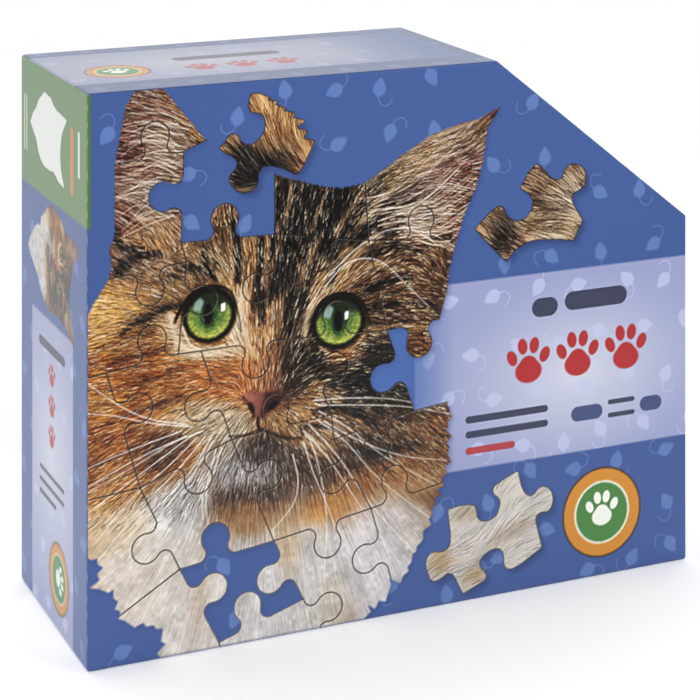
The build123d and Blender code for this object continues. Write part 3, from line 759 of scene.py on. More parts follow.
def paint_cuts(c, clip):
    """The printed cut lines inside a cover: a thin dark line with a pale one beside it."""
    keep = c.rgb.copy()
    for cut in CUTS:
        points = np.array(cut_points(cut))
        c.line(points + (0.30, -0.30), 0.34, (0.80, 0.76, 0.70), 0.40, 0.12)
        c.line(points, 0.48, (0.09, 0.08, 0.08), 0.88, 0.12)
    c.rgb = keep + (c.rgb - keep) * clip[..., None]


def full_cover(canvas, points):
    """The cover of an outline over a whole canvas."""
    cover = np.zeros((canvas.h, canvas.w), np.float32)
    win, part = canvas.inside(points)
    cover[win] = part
    return cover


def ragged(points, rng):
    """An outline whose edge breaks into tufts of fur, short on the ears and long on the ruff."""
    out = []
    pts = np.asarray(points, float)
    for a, b in zip(pts, np.roll(pts, -1, 0)):
        ruff = min(max((90 - min(a[1], b[1])) / 40, 0), 1)
        crown = 0.6 if 50 < a[0] < 124 and a[1] > 150 else 0
        tuft, gap = 0.4 + 1.9 * ruff + crown, 0.9 + 2.6 * ruff
        d = b - a
        size = np.linalg.norm(d)
        n = max(1, int(size / gap))
        normal = np.array([d[1], -d[0]]) / max(size, 1e-6)
        for k in range(n):
            out.append(a + d * (k + rng.uniform(0.0, 0.3)) / n - normal * rng.uniform(0, 0.3) * tuft)
            out.append(a + d * (k + rng.uniform(0.5, 0.9)) / n + normal * rng.uniform(0.2, 1.0) * tuft)
    return out


def eased(points, reach=0.9):
    """A closed outline with its corners rounded off."""
    pts = [np.array(p, float) for p in points]
    for _ in range(2):
        cut = []
        for k, p in enumerate(pts):
            for q in (pts[k - 1], pts[(k + 1) % len(pts)]):
                size = max(np.linalg.norm(q - p), 1e-6)
                cut.append(p + (q - p) * min(0.28, reach / size))
        pts, reach = cut, reach / 2
    return pts


# ---- the printed background ----
BLUE = (0.232, 0.340, 0.575)
BLUE_LIGHT = (0.29, 0.39, 0.63)
MOUSE = (0.385, 0.495, 0.725)
LABEL = (0.585, 0.610, 0.765)
LABEL_LIGHT = (0.80, 0.81, 0.865)
LABEL_MOUSE = (0.74, 0.76, 0.885)
GREEN = (0.29, 0.465, 0.20)
INK, RED = (0.17, 0.18, 0.27), (0.68, 0.17, 0.18)
BADGE_EDGE, BADGE_RING = (0.22, 0.13, 0.10), (0.80, 0.53, 0.17)
BADGE_PALE, BADGE_MIDDLE = (0.93, 0.94, 0.90), (0.28, 0.50, 0.24)
BADGE_R = 17.0                          # the sticker on the front; a paw print fits it at full size
MICE_PITCH = 18.5                       # from one mouse to the next where they stand in rows
PANEL_LOW, PANEL_HIGH = 48.5, 117.4     # the pale panel's lower and upper edge
FLAG_LOW = 151.5                        # the lower edge of the green flag on the left side


def mouse(c, x, y, turn, colour=MOUSE, amount=0.8):
    """A toy mouse: a leaf-shaped body and a thin curled tail."""
    a = math.radians(turn)
    along, across = np.array([math.cos(a), math.sin(a)]), np.array([-math.sin(a), math.cos(a)])
    at = np.array([x, y])
    edge = []
    for k in range(21):
        t = k / 20
        edge.append((-3.6 + 7.2 * t, 2.9 * math.sin(math.pi * t**0.8) ** 0.8 * (1 - 0.25 * t)))
    outline = edge + [(u, -v) for u, v in reversed(edge)]
    c.area([at + along * u + across * v for u, v in outline], colour, amount)
    bend = 1 if int(x * 7 + y * 3) % 2 else -1
    tail = [(-3.4, 0), (-5.4, 0.9 * bend), (-6.6, 3.0 * bend), (-5.6, 5.0 * bend), (-3.2, 5.8 * bend)]
    c.line(curve(*[at + along * u + across * v for u, v in tail], steps=6), 0.40, colour, amount, 0.15)


def mice(c, low, high, rng, colour=MOUSE, amount=0.8):
    """Toy mice in staggered rows."""
    row = 0
    y = low[1] + MICE_PITCH * 0.35
    while y < high[1]:
        x = low[0] + MICE_PITCH * (0.3 + 0.5 * (row % 2))
        while x < high[0]:
            dx, dy = rng.uniform(-2, 2), rng.uniform(-2, 2)
            mouse(c, x + dx, y + dy, rng.uniform(0, 360), colour, amount)
            x += MICE_PITCH
        y += MICE_PITCH
        row += 1


def rectangle(x0, y0, x1, y1):
    """The four corners of an upright rectangle."""
    return [(x0, y0), (x1, y0), (x1, y1), (x0, y1)]


def badge(c, x, y, r, turn=0.0):
    """A plain round sticker: an orange rim, a pale line and a green middle with one paw print."""
    discs = ((1.0, BADGE_EDGE), (0.965, BADGE_RING), (0.70, BADGE_PALE), (0.655, BADGE_MIDDLE))
    for share, colour in discs:
        c.area([(x + r * share * math.cos(t), y + r * share * math.sin(t))
                for t in np.linspace(0, 2 * math.pi, 73)[:-1]], colour)
    paw(c, x, y, r / BADGE_R, BADGE_PALE, turn)


def paw(c, x, y, s, colour, turn=0.0):
    """A paw print: one pad, drawn as two ellipses, and four toes."""
    cos, sin = math.cos(math.radians(turn)), math.sin(math.radians(turn))
    parts = [(0, -1.6, 4.3, 3.4, 0, 0.10), (0, -0.2, 3.0, 3.0, 0, 0.10)]
    for dx, dy, lean in ((-5.3, 2.6, 25), (-1.9, 5.6, 8), (1.9, 5.6, -8), (5.3, 2.6, -25)):
        parts.append((dx, dy, 1.55, 2.3, lean, 0.12))
    for dx, dy, wide, tall, lean, soft in parts:
        place = (x + (dx * cos - dy * sin) * s, y + (dx * sin + dy * cos) * s)
        c.blob(place, (wide * s, tall * s), colour, lean + turn, soft)


def bars(c, rows, colour):
    """Plain bars that stand where lines of print would be."""
    for x0, x1, y, h in rows:
        c.line([(x0, y), (x1, y)], h, colour, 0.85, 0.12)


def label(c, x0, y0, x1, y1, glow, rng):
    """The pale panel with faint mice and a glow, given as its middle and its reach each way."""
    win, cover = c.inside(rectangle(x0, y0, x1, y1))
    c.lay(win, LABEL, cover)
    d = np.hypot((c.x[win] - glow[0]) / glow[2], (c.y[win] - glow[1]) / glow[3])
    c.lay(win, LABEL_LIGHT, cover * np.clip(1 - d, 0, 1) ** 1.2)
    held = c.rgb.copy()
    mice(c, (x0, y0), (x1, y1), rng, LABEL_MOUSE, 0.75)
    mask = np.zeros((c.h, c.w, 1), np.float32)
    mask[win] = cover[..., None]
    c.rgb = held + (c.rgb - held) * mask


def drop_shadow(c, points):
    """The soft shadow that a loose piece throws to its lower right."""
    win, cover = c.inside([(x + 1.6, y - 1.8) for x, y in points], 5)
    c.lay(win, (0.12, 0.17, 0.34), cover * 0.45)


def paint_loose_coat(c, marks, lie, contrast, rng):
    """A loose piece's coat: soft patches, then hairs that fan about one direction."""
    for at, radii, turn, colour in marks:
        c.blob(at, radii, colour, turn, 0.5, 0.92)
    angle = math.radians(lie) + 0.9 * patches(c, rng, 16)
    field = (np.cos(angle), np.sin(angle))
    clumps = np.clip(0.4 + 1.6 * patches(c, rng, 2.2), 0, 1)
    pale = 1 - 0.8 * darkness(c)
    fur(c, field, rng, 5000, 5.0, (-0.55 * contrast, 0.15 * contrast), 0.7, 1 - clumps)
    fur(c, field, rng, 5000, 5.0, (0.30 * contrast, 0.2 * contrast), 0.75, pale)
    fur(c, field, rng, 3000, 7.0, (0.45 * contrast, 0.15 * contrast), 0.8, clumps * pale, (1, 0.96, 0.90))
    fur(c, field, rng, 1800, 7.0, (-0.75 * contrast, 0.1), 0.7, 1 - clumps)
    c.rgb = punchy(c.rgb)
    crisp(c)


def loose_piece(c, points, base, lie, contrast, marks, rng):
    """A piece lying on the background, painted on its own canvas and then laid on the front's."""
    points = eased(points, 0.45)
    drop_shadow(c, points)
    own = Canvas(tuple(np.min(points, 0) - 3), tuple(np.max(points, 0) + 3), c.per_mm, base)
    i, j = [int(round((own.low[k] - c.low[k]) * c.per_mm)) for k in (0, 1)]
    own.low = (i / c.per_mm + c.low[0], j / c.per_mm + c.low[1])
    paint_loose_coat(own, marks, lie, contrast, rng)
    cover = full_cover(own, points)
    skip_i, skip_j = max(-i, 0), max(-j, 0)
    part = c.rgb[j + skip_j: j + own.h, i + skip_i: i + own.w]
    mine = (slice(skip_j, skip_j + part.shape[0]), slice(skip_i, skip_i + part.shape[1]))
    part += (own.rgb[mine] - part) * cover[mine][..., None]
    c.line(list(points) + [points[0]], 0.40, (0.12, 0.09, 0.08), 0.6, 0.18)


# Outlines of the three loose pieces.
LOOSE_DARK = [
    (60, 193.5), (63, 193.5), (68, 191.3), (66, 190.9), (70.7, 189.9), (69, 189), (73.8, 187.2),
    (72.3, 186.6), (77, 185.4), (75.9, 183.9), (81, 182.3), (77.4, 180), (81.9, 178.5), (80, 176),
    (84.6, 174.9), (79.8, 165.6), (77.4, 163.2), (72, 166.2), (67.8, 167.4), (64.5, 167.4), (62.7, 165),
    (62.7, 161.7), (61.2, 159.3), (58.2, 158.5), (55.2, 159.3), (52.8, 161.4), (51.6, 163.8),
    (52.5, 165.9), (54.3, 167.4), (54.9, 170.1), (52.8, 172.2), (50.1, 173.4), (48, 175.5), (50.1, 177),
    (51.6, 179.4), (53.4, 180.1), (55.2, 179.1), (56.4, 177), (58.2, 175.5), (61.2, 175.8), (64.2, 178.2),
    (65.4, 180.6), (65.3, 184.5), (63.6, 186.3), (60, 186.9), (58.8, 189),
]
LOOSE_TABBY = [
    (148.5, 136.7), (154.5, 141.9), (158.3, 144.2), (160.4, 143.7), (162.2, 139.8), (165.7, 137.8),
    (169.5, 138.4), (172.3, 141.2), (173, 144.7), (171.6, 147.2), (167.4, 150), (169.5, 152.8),
    (170.6, 155.2), (174.4, 158.6), (177.6, 155.9), (180, 153.1), (182.5, 151.5), (185.3, 152.1),
    (187, 155.9), (189.5, 157.2), (192.6, 156.6), (195.1, 154.5), (195.8, 151.4), (195.1, 148.2),
    (192.3, 146.7), (189.8, 145.8), (189.5, 143.3), (191.2, 140.2), (194.2, 135.3), (190.2, 127.9),
    (186, 129), (179, 129.7), (174.1, 130), (169.9, 129.3), (165, 126.9), (161.8, 123), (155.2, 129.7),
    (151, 134.2),
]
LOOSE_WHITE = [
    (137.4, 34.5), (138, 35.1), (142.2, 35.5), (146.5, 35.4), (148.7, 34.5), (149.3, 32.5), (149.6, 30),
    (151, 28.6), (153.3, 28.2), (155.8, 28.6), (157.8, 30), (159.2, 33.9), (158.4, 35.9), (156.7, 37.3),
    (155.8, 39), (156.4, 40.5), (159.5, 42.2), (166.6, 45), (168, 39), (169.4, 36.2), (171.7, 34.5),
    (173.7, 35.4), (175.1, 37.1), (177, 37.6), (179.3, 36.8), (181, 34.8), (181.6, 31.7), (180.7, 28.8),
    (179.3, 27.6), (175.9, 27.8), (174.2, 26.6), (174.1, 24.9), (175.1, 20.9), (176.8, 14.7), (168, 9.9),
    (164, 8.6), (161.8, 9), (160.6, 10.7), (160.6, 13), (160.3, 15.2), (159.2, 16.8), (157.2, 17.4),
    (154.4, 16.8), (151.6, 15.2), (150.4, 13.3), (151, 11.3), (153, 9.3), (153.5, 7.3), (152.4, 6.2),
    (143.6, 2.7), (140.5, 9), (139.1, 11), (137.1, 11.4), (135.1, 10.1), (132.6, 9.2), (130.3, 9.9),
    (128.3, 15.8), (128.9, 18.6), (130.6, 20.3), (135.1, 19.8), (137.4, 20.5), (138.5, 22.3), (138.5, 26),
    (138, 29.4),
]

# The loose pieces: outline, ground colour, the fur's direction, its contrast, and marks of the coat,
# each with its place, radii, turn and colour.
LOOSE = [
    (LOOSE_DARK, (0.70, 0.51, 0.32), -35, 0.5,
     [((61, 170), (15, 6.5), 12, BLACK), ((54, 176), (6, 5), 0, BLACK), ((57, 163), (6, 6), 0, BLACK),
      ((66, 168), (7, 4), 0, BLACK), ((76, 168), (5, 4), 0, (0.52, 0.34, 0.20))]),
    (LOOSE_TABBY, (0.52, 0.40, 0.28), -30, 0.6,
     [((158, 134), (4, 11), -35, BLACK), ((165, 130), (3, 6), -40, (0.42, 0.25, 0.14)),
      ((172, 150), (5, 6), 20, (0.36, 0.25, 0.17)), ((188, 146), (9, 9), 0, (0.68, 0.60, 0.52)),
      ((181, 137), (8, 5), 20, (0.66, 0.56, 0.45)), ((177, 131), (8, 2), 0, (0.74, 0.65, 0.54))]),
    (LOOSE_WHITE, (0.74, 0.73, 0.715), 25, 0.22,
     [((132, 15), (4, 5), 0, (0.62, 0.52, 0.40)), ((143, 31), (6, 3), 0, (0.65, 0.60, 0.52)),
      ((162, 21), (11, 2.5), 22, (0.62, 0.58, 0.53)), ((146, 8), (4, 4), 0, (0.62, 0.54, 0.43)),
      ((166, 36), (5, 8), -20, (0.80, 0.78, 0.75)), ((154, 23), (12, 2.2), 28, (0.82, 0.80, 0.78))]),
]

# The mice on the front: x, y, turn.
FRONT_MICE = [
    (73, 194, 100), (92, 192, 200), (110, 192, 80), (131, 194, 300), (55, 186, 80), (36, 167, 200),
    (38, 150, 320), (58, 148, 60), (94, 173, 30), (114, 175, 250), (132, 175, 100), (156, 160, 130),
    (173, 182, 60), (178, 161, 90), (202, 145, 330), (219, 145, 90), (181, 123, 320), (202, 123, 100),
    (225, 123, 210), (161, 122, 270), (172, 44, 300), (190, 42, 180), (209, 43, 80), (231, 44, 20),
    (231, 24, 120), (233, 7, 300), (216, 5, 60), (196, 3, 200), (179, 21, 340), (133, 34, 250),
    (50, 28, 300), (54, 9, 240), (13, 5, 20), (154, 35, 110), (158, 14, 200), (115, 11, 30),
    (150, 12, 160), (137, 4, 100), (7, 183, 230),
]


def paint_front_background(c, rng):
    """Blue with mice, and the pale panel, which fades into the blue on its left."""
    d = np.hypot((c.x - 135) / 170, (c.y - 150) / 120)
    c.tint(BLUE_LIGHT, np.clip(1 - d, 0, 1) * 0.35)
    for x, y, turn in FRONT_MICE:
        mouse(c, x, y, turn)
    label(c, 124, PANEL_LOW, 242, PANEL_HIGH, (192, 78, 64, 40), rng)
    band = (c.y > PANEL_LOW) & (c.y < PANEL_HIGH) & (c.x < 142)
    c.tint((0.27, 0.40, 0.66), np.where(band, 1 - ramp(c.x, 116, 140), 0).astype(np.float32))


def paint_front_words(c):
    """Plain bars, paw prints and the sticker, in the places of the words and the seal."""
    bars(c, [(176, 180, 104.5, 7.0), (190, 210, 105.5, 7.0)], INK)
    for x in (171, 192, 213):
        paw(c, x, 83.5, 1.3, RED)
    bars(c, [(146, 178, 66.5, 2.6), (146, 178, 61, 2.6)], INK)
    bars(c, [(146, 164, 55, 2.6)], RED)
    bars(c, [(192, 200, 62.5, 5.6), (222, 226, 62.5, 5.6)], (0.19, 0.24, 0.42))
    bars(c, [(206, 216, 65.2, 1.8), (206, 216, 60.2, 1.8)], INK)
    badge(c, 202.5, 24, BADGE_R)


def paint_front_head(c, head, rng):
    """The head with its cut lines and its shadow, and with three pieces taken out."""
    cover = full_cover(c, ragged(HEAD, rng))
    for chain, closing in TAKEN_OUT:
        cover *= 1 - full_cover(c, taken_out_outline(chain, closing))
    down, right = 5, 4      # how many samples the shadow is moved
    shadow = np.zeros_like(cover)
    shadow[:-down, right:] = blurred(cover, 4)[down:, :-right]
    c.tint((0.13, 0.18, 0.36), shadow * 0.30)
    c.rgb += (head.sample(c.x, c.y) - c.rgb) * cover[..., None]
    paint_cuts(c, cover)


def paint_front(head, rng):
    """The lid's front."""
    c = Canvas((0, 0), (WIDTH, HEIGHT), 5.0, BLUE)
    paint_front_background(c, rng)
    paint_front_words(c)
    paint_front_head(c, head, rng)
    for points, base, lie, contrast, marks in LOOSE:
        loose_piece(c, points, base, lie, contrast, marks, rng)
    crisp(c, 0.5)
    # the green flag comes round the left fold, and a painted shade darkens the print along the bottom fold,
    # where the edge turns down
    c.tint(GREEN, np.clip(3 * np.clip(1 - c.x / 1.4, 0, 1) * (c.y > FLAG_LOW), 0, 1))
    c.tint((0.30, 0.27, 0.42), 0.6 * np.clip(1.2 - c.y, 0, 1))
    return c


# ---- meshes ----
def linear(srgb):
    """Colours from sRGB to linear."""
    v = np.clip(srgb, 0, 1)
    return np.where(v <= 0.04045, v / 12.92, ((v + 0.055) / 1.055) ** 2.4)


def new_mesh(name, points, faces, colours, material):
    """A mesh from points in millimetres, with its print as a colour at every point."""
    points = np.asarray(points, float).reshape(-1, 3) * MM
    mesh = bpy.data.meshes.new(name)
    mesh.from_pydata(points.tolist(), [], faces.tolist() if hasattr(faces, "tolist") else faces)
    layer = mesh.color_attributes.new("print", "FLOAT_COLOR", "POINT")
    rgba = np.ones((len(points), 4), np.float32)
    rgba[:, :3] = linear(np.asarray(colours).reshape(-1, 3))
    layer.data.foreach_set("color", rgba.ravel())
    mesh.polygons.foreach_set("use_smooth", np.ones(len(mesh.polygons), bool))
    mesh.materials.append(material)
    obj = bpy.data.objects.new(name, mesh)
    bpy.context.scene.collection.objects.link(obj)
    return obj


def grid_faces(rows, cols, flip=False, closed=False):
    """The quads of a grid of points, row by row; closed joins the last column to the first."""
    k = np.arange(rows * cols).reshape(rows, cols)
    if closed:
        k = np.concatenate([k, k[:, :1]], 1)
    quads = np.stack([k[:-1, :-1], k[:-1, 1:], k[1:, 1:], k[1:, :-1]], -1).reshape(-1, 4)
    return quads[:, ::-1] if flip else quads


def standing(points, y):
    """Points of x and z, all set at one y."""
    return np.column_stack([points[:, 0], np.full(len(points), y), points[:, 1]])


# ---- procedural finishes ----
def material(name):
    """A new material with its nodes, links and main shader."""
    made = bpy.data.materials.new(name)
    made.use_nodes = True
    return made, made.node_tree.nodes, made.node_tree.links, made.node_tree.nodes["Principled BSDF"]


def ranged(nodes, links, source, begin, end, low, high):
    """A value that goes from low to high while the source goes from begin to end."""
    made = nodes.new("ShaderNodeMapRange")
    for setting, value in (("From Min", begin), ("From Max", end), ("To Min", low), ("To Max", high)):
        made.inputs[setting].default_value = value
    links.new(source, made.inputs["Value"])
    return made.outputs["Result"]


def product(nodes, links, first, second):
    """Two values multiplied."""
    made = nodes.new("ShaderNodeMath")
    made.operation = "MULTIPLY"
    links.new(first, made.inputs[0])
    links.new(second, made.inputs[1])
    return made.outputs["Value"]


def mixed(nodes, links, share, first, second):
    """The first shader where share is 0 and the second where it is 1."""
    made = nodes.new("ShaderNodeMixShader")
    links.new(share, made.inputs["Fac"])
    links.new(first, made.inputs[1])
    links.new(second, made.inputs[2])
    return made.outputs["Shader"]


def bumped(nodes, links, shader, source, strength, distance):
    """Roughens a shader's surface by a value."""
    bump = nodes.new("ShaderNodeBump")
    bump.inputs["Strength"].default_value = strength
    bump.inputs["Distance"].default_value = distance
    links.new(source, bump.inputs["Height"])
    links.new(bump.outputs["Normal"], shader.inputs["Normal"])


def noise(nodes, links, scale, detail, stretch=(1, 1, 1)):
    """Noise fixed to the object; scale is per metre."""
    where = nodes.new("ShaderNodeTexCoord")
    shape = nodes.new("ShaderNodeMapping")
    shape.inputs["Scale"].default_value = stretch
    made = nodes.new("ShaderNodeTexNoise")
    made.inputs["Scale"].default_value = scale
    made.inputs["Detail"].default_value = detail
    links.new(where.outputs["Object"], shape.inputs["Vector"])
    links.new(shape.outputs["Vector"], made.inputs["Vector"])
    return made


def printed(name, roughness, sheen, grain):
    """Printed paper: the colours at the points under a thin film, with a little paper grain."""
    made, nodes, links, shader = material(name)
    ink = nodes.new("ShaderNodeAttribute")
    ink.attribute_name = "print"
    links.new(ink.outputs["Color"], shader.inputs["Base Color"])
    fibre = noise(nodes, links, 900, 4).outputs["Fac"]
    rough = ranged(nodes, links, fibre, 0, 1, roughness - 0.05, roughness + 0.06)
    links.new(rough, shader.inputs["Roughness"])
    shader.inputs["Specular IOR Level"].default_value = sheen
    bumped(nodes, links, shader, fibre, grain, 0.0001)
    return made


def board(name, base, fleck, scale, stretch, roughness, grain):
    """Pulp board or plain paper: two tones of fibre and a rough skin."""
    made, nodes, links, shader = material(name)
    cloud = noise(nodes, links, scale, 8, stretch).outputs["Fac"]
    tones = nodes.new("ShaderNodeValToRGB")
    for stop, position, colour in zip(tones.color_ramp.elements, (0.34, 0.66), (fleck, base)):
        stop.position = position
        stop.color = (*linear(np.array(colour)), 1)
    links.new(cloud, tones.inputs["Fac"])
    links.new(tones.outputs["Color"], shader.inputs["Base Color"])
    shader.inputs["Roughness"].default_value = roughness
    shader.inputs["Specular IOR Level"].default_value = 0.25
    bumped(nodes, links, shader, cloud, grain, 0.0004)
    return made


lid_print = printed("laminated print", 0.30, 0.42, 0.04)
puzzle_print = printed("puzzle print", 0.42, 0.45, 0.08)
leaflet_print = printed("leaflet print", 0.55, 0.35, 0.06)
greyboard = board("greyboard", (0.62, 0.60, 0.56), (0.52, 0.49, 0.45), 700, (1, 1, 1), 0.85, 0.35)
kraft = board("gummed kraft paper", (0.68, 0.52, 0.36), (0.60, 0.44, 0.29), 500, (1, 0.3, 1), 0.6, 0.2)

# ---- the box's outline from the front: five straight sides, anticlockwise from the bottom ----
slope = math.hypot(CUT_ACROSS, CUT_DOWN)
SIDES = ["bottom", "right", "cut_corner", "top", "left"]
OUTWARD = np.array([(0, -1), (1, 0), (CUT_DOWN / slope, CUT_ACROSS / slope), (0, 1), (-1, 0)])
REACH = np.array([0, WIDTH, (CUT_DOWN * WIDTH + CUT_ACROSS * (HEIGHT - CUT_DOWN)) / slope, HEIGHT, 0])
FLAT_INSET = 1.0       # where the flat panel pieces end and the wall pieces begin
PANEL_ROWS = 4         # how many of a wall's rows are coloured as the panel
FRONT_CELL, SEEN_CELL, SIDE_CELL = 0.34, 0.45, 0.7    # how fine the lid's meshes are
BACK_CELL, TRAY_CELL = 0.6, 1.2                       # and the tray's


def corner(k, inset):
    """The corner where side k begins, on the outline shrunk by an inset."""
    sides = [(k - 1) % 5, k % 5]
    return np.linalg.solve(OUTWARD[sides], REACH[sides] - inset)


def side_line(k, inset, r, cell):
    """Points along side k, from the middle of one rounded corner to the middle of the next."""
    begin, finish = corner(k, inset + r), corner(k + 1, inset + r)
    angles = [math.atan2(OUTWARD[j % 5][1], OUTWARD[j % 5][0]) for j in (k - 1, k, k + 1)]
    before = (angles[0] - angles[1] + math.pi) % (2 * math.pi) - math.pi
    after = (angles[2] - angles[1] + math.pi) % (2 * math.pi) - math.pi
    steps = 4
    count = max(2, int(np.linalg.norm(corner(k + 1, 0) - corner(k, 0)) / cell))
    line = []
    for s in range(steps):
        a = angles[1] + before / 2 * (1 - s / steps)
        line.append(begin + r * np.array([math.cos(a), math.sin(a)]))
    for s in range(count + 1):
        line.append(begin + (finish - begin) * s / count + r * OUTWARD[k])
    for s in range(1, steps + 1):
        a = angles[1] + after / 2 * s / steps
        line.append(finish + r * np.array([math.cos(a), math.sin(a)]))
    return line


def wall_profile(closed_y, rim_y, way, cell):
    """Rows (inset, corner radius, y) from the panel round its edge, down the wall, over the rim and in."""
    rows = [(FLAT_INSET, 0.0, closed_y)]
    for k in range(7):
        a = math.pi / 2 * k / 6
        inset = PANEL_R * (1 - math.sin(a))
        y = closed_y + way * PANEL_R * (1 - math.cos(a))
        rows.append((inset, CORNER_R * (1 - inset / FLAT_INSET), y))
    start, end = closed_y + way * PANEL_R, rim_y - way * RIM_R
    count = max(2, int(abs(end - start) / cell))
    rows += [(0.0, CORNER_R, start + (end - start) * k / count) for k in range(1, count + 1)]
    for k in range(1, 5):
        a = math.pi / 2 * k / 4
        inset = RIM_R * (1 - math.cos(a))
        rows.append((inset, CORNER_R - inset, end + way * RIM_R * math.sin(a)))
    for k in range(5):
        a = math.pi / 2 * k / 4
        inset = WALL - RIM_R + RIM_R * math.sin(a)
        rows.append((inset, INNER_R, rim_y - way * RIM_R * (1 - math.cos(a))))
    low = rim_y - way * TURN_IN
    rows += [(WALL, INNER_R, end + (low - end) * k / 5) for k in range(1, 6)]
    rows.append((WALL - PAPER, INNER_R, low))
    return rows


def wall(name, k, base, closed_y, rim_y, cell, colour_at, panel_colour_at):
    """One side of a wrap, from the panel's edge to the end of its turn-in."""
    way = 1 if rim_y > closed_y else -1
    points, tones, walked = [], [], 0.0
    last = None
    for n, (inset, r, y) in enumerate(wall_profile(closed_y, rim_y, way, cell)):
        line = np.array(side_line(k, base + inset, r, cell))
        if last is not None:
            walked += math.hypot(inset - last[0], y - last[1])
        last = (inset, y)
        points.append(standing(line - (WIDTH / 2, 0), y))
        if n < PANEL_ROWS:
            tones.append(panel_colour_at(line[:, 0], line[:, 1]))
        else:
            tones.append(colour_at(line[:, 0], np.full(len(line), walked), line[:, 1]))
    points, tones = np.array(points), np.array(tones)
    return new_mesh(name, points, grid_faces(*points.shape[:2], way > 0), tones, lid_print)


def panel(name, base, y, cell, colour_at, facing):
    """The flat panel of a wrap as a fine grid that follows the cut corner."""
    inset = base + FLAT_INSET
    knee = corner(2, inset)[1]
    top, side = HEIGHT - inset, WIDTH - inset
    low_rows = np.linspace(inset, knee, int((knee - inset) / cell) + 1)
    rows = np.concatenate([low_rows, np.linspace(knee, top, int((top - knee) / cell) + 1)[1:]])
    right = np.minimum(side, (REACH[2] - inset - OUTWARD[2][1] * rows) / OUTWARD[2][0])
    share = np.linspace(0, 1, int((side - inset) / cell) + 1)
    x = inset + (right[:, None] - inset) * share[None, :]
    z = np.repeat(rows[:, None], len(share), 1)
    points = np.stack([x - WIDTH / 2, np.full_like(x, y), z], -1)
    return new_mesh(name, points, grid_faces(*x.shape, facing > 0), colour_at(x, z), lid_print)


# ---- what is printed on the other sides ----
HEAD_LOW, HEAD_HIGH = (-18, -58), (164, 206)    # the head's own canvas
HEAD_MIDDLE = (73, 74)


def blue_side(width, height, rng, per_mm=3.5):
    """A plain side: blue with mice."""
    c = Canvas((0, 0), (width, height), per_mm, BLUE)
    mice(c, (0, 0), (width, height), rng)
    return c


def thumbnail(c, head, mask, at, scale, turn):
    """A small picture of the whole head, turned."""
    a = math.radians(turn)
    x, y = c.x - at[0], c.y - at[1]
    u = (x * math.cos(a) + y * math.sin(a)) / scale + HEAD_MIDDLE[0]
    v = (-x * math.sin(a) + y * math.cos(a)) / scale + HEAD_MIDDLE[1]
    known = (u > HEAD_LOW[0] + 2) & (u < HEAD_HIGH[0] - 2) & (v > HEAD_LOW[1] + 2) & (v < HEAD_HIGH[1] - 2)
    cover = mask.sample(u, v)[..., 0] * known
    c.rgb += (head.sample(u, v) - c.rgb) * cover[..., None].astype(np.float32)


# The pale cat shape on the green flag.
SILHOUETTE = [
    (11.9, 175), (15.6, 179.3), (20, 182), (23.8, 185.8), (28, 188), (31, 189.8), (40, 189),
    (43.8, 186.8), (48, 185.8), (55, 185.3), (60.6, 184.5), (54.4, 178.6), (53, 175.5), (51.9, 170.5),
    (53, 165.5), (57.5, 159.3), (50, 160), (43, 162.4), (37.5, 161.8), (31, 162), (26, 163.6), (23, 166),
    (20, 170), (16, 172.4),
]


def paint_left(head, mask, rng):
    """The left side, x from the back edge and y up: green flag, thumbnail, panel and badge."""
    c = Canvas((0, 0), (DEPTH, HEIGHT), 4.0, BLUE)
    mice(c, (0, 0), (DEPTH, 152), rng)
    label(c, 15, -2, 67.5, 108, (41, 60, 50, 60), rng)
    c.area(rectangle(-1, FLAG_LOW, DEPTH + 1, HEIGHT + 1), (0.38, 0.52, 0.33))
    c.area(SILHOUETTE, (0.90, 0.91, 0.89))
    c.line(SILHOUETTE + SILHOUETTE[:1], 0.5, (0.20, 0.24, 0.18), 0.8, 0.2)
    white = (0.93, 0.94, 0.92)
    for x, low, high, width, colour, amount in ((66, 161, 181, 4.2, (0.82, 0.50, 0.25), 0.9),
                                                (74.5, 168, 182, 2.4, white, 0.9),
                                                (4.5, 164, 184, 1.1, white, 0.8),
                                                (7.6, 164, 184, 1.1, white, 0.8)):
        c.line([(x, low), (x, high)], width, colour, amount, 0.15)
    thumbnail(c, head, mask, (42, 128), 0.255, -90)
    bars(c, [(26, 56, 98, 3.4)], INK)
    for y in (88, 77, 66):
        paw(c, 41, y, 0.62, RED)
    bars(c, [(26, 56, 52, 1.6), (26, 56, 47.5, 1.6), (26, 46, 43, 1.6)], INK)
    badge(c, 50, 19, 12.5, -90)
    return c


def paint_top(rng):
    """The top, x from the left edge and y from the front."""
    c = blue_side(WIDTH, DEPTH, rng, 4.0)
    label(c, -2, 17, 150, 75, (60, 46, 90, 40), rng)
    # painted shade: the whole top is darkened evenly
    c.rgb *= 0.86
    band = (c.x < 152) & (c.y > 16.5) & (c.y < 75.5)
    c.tint(BLUE, ramp(c.x, 112, 148) * band)
    bars(c, [(52, 88, 52, 7.0)], INK)
    for x in (54, 70, 86):
        paw(c, x, 33, 0.9, RED)
    badge(c, 22.5, 37, 12)
    return c


def paint_back(head, mask, rng):
    """The tray's panel as seen from behind: mice, a pale panel, a portrait and plain bars."""
    c = blue_side(WIDTH, HEIGHT, rng, 4.0)
    label(c, 20, 22, 220, 108, (100, 66, 110, 60), rng)
    thumbnail(c, head, mask, (176, 66), 0.30, 0)
    bars(c, [(36, 110, 92, 6.0)], INK)
    bars(c, [(36, 128 - (k % 3) * 9, 76 - 5.2 * k, 1.7) for k in range(8)], INK)
    badge(c, 36, 142, 15)
    for k in range(4):
        paw(c, 76 + 20 * k, 142, 0.8, LABEL)
    return c


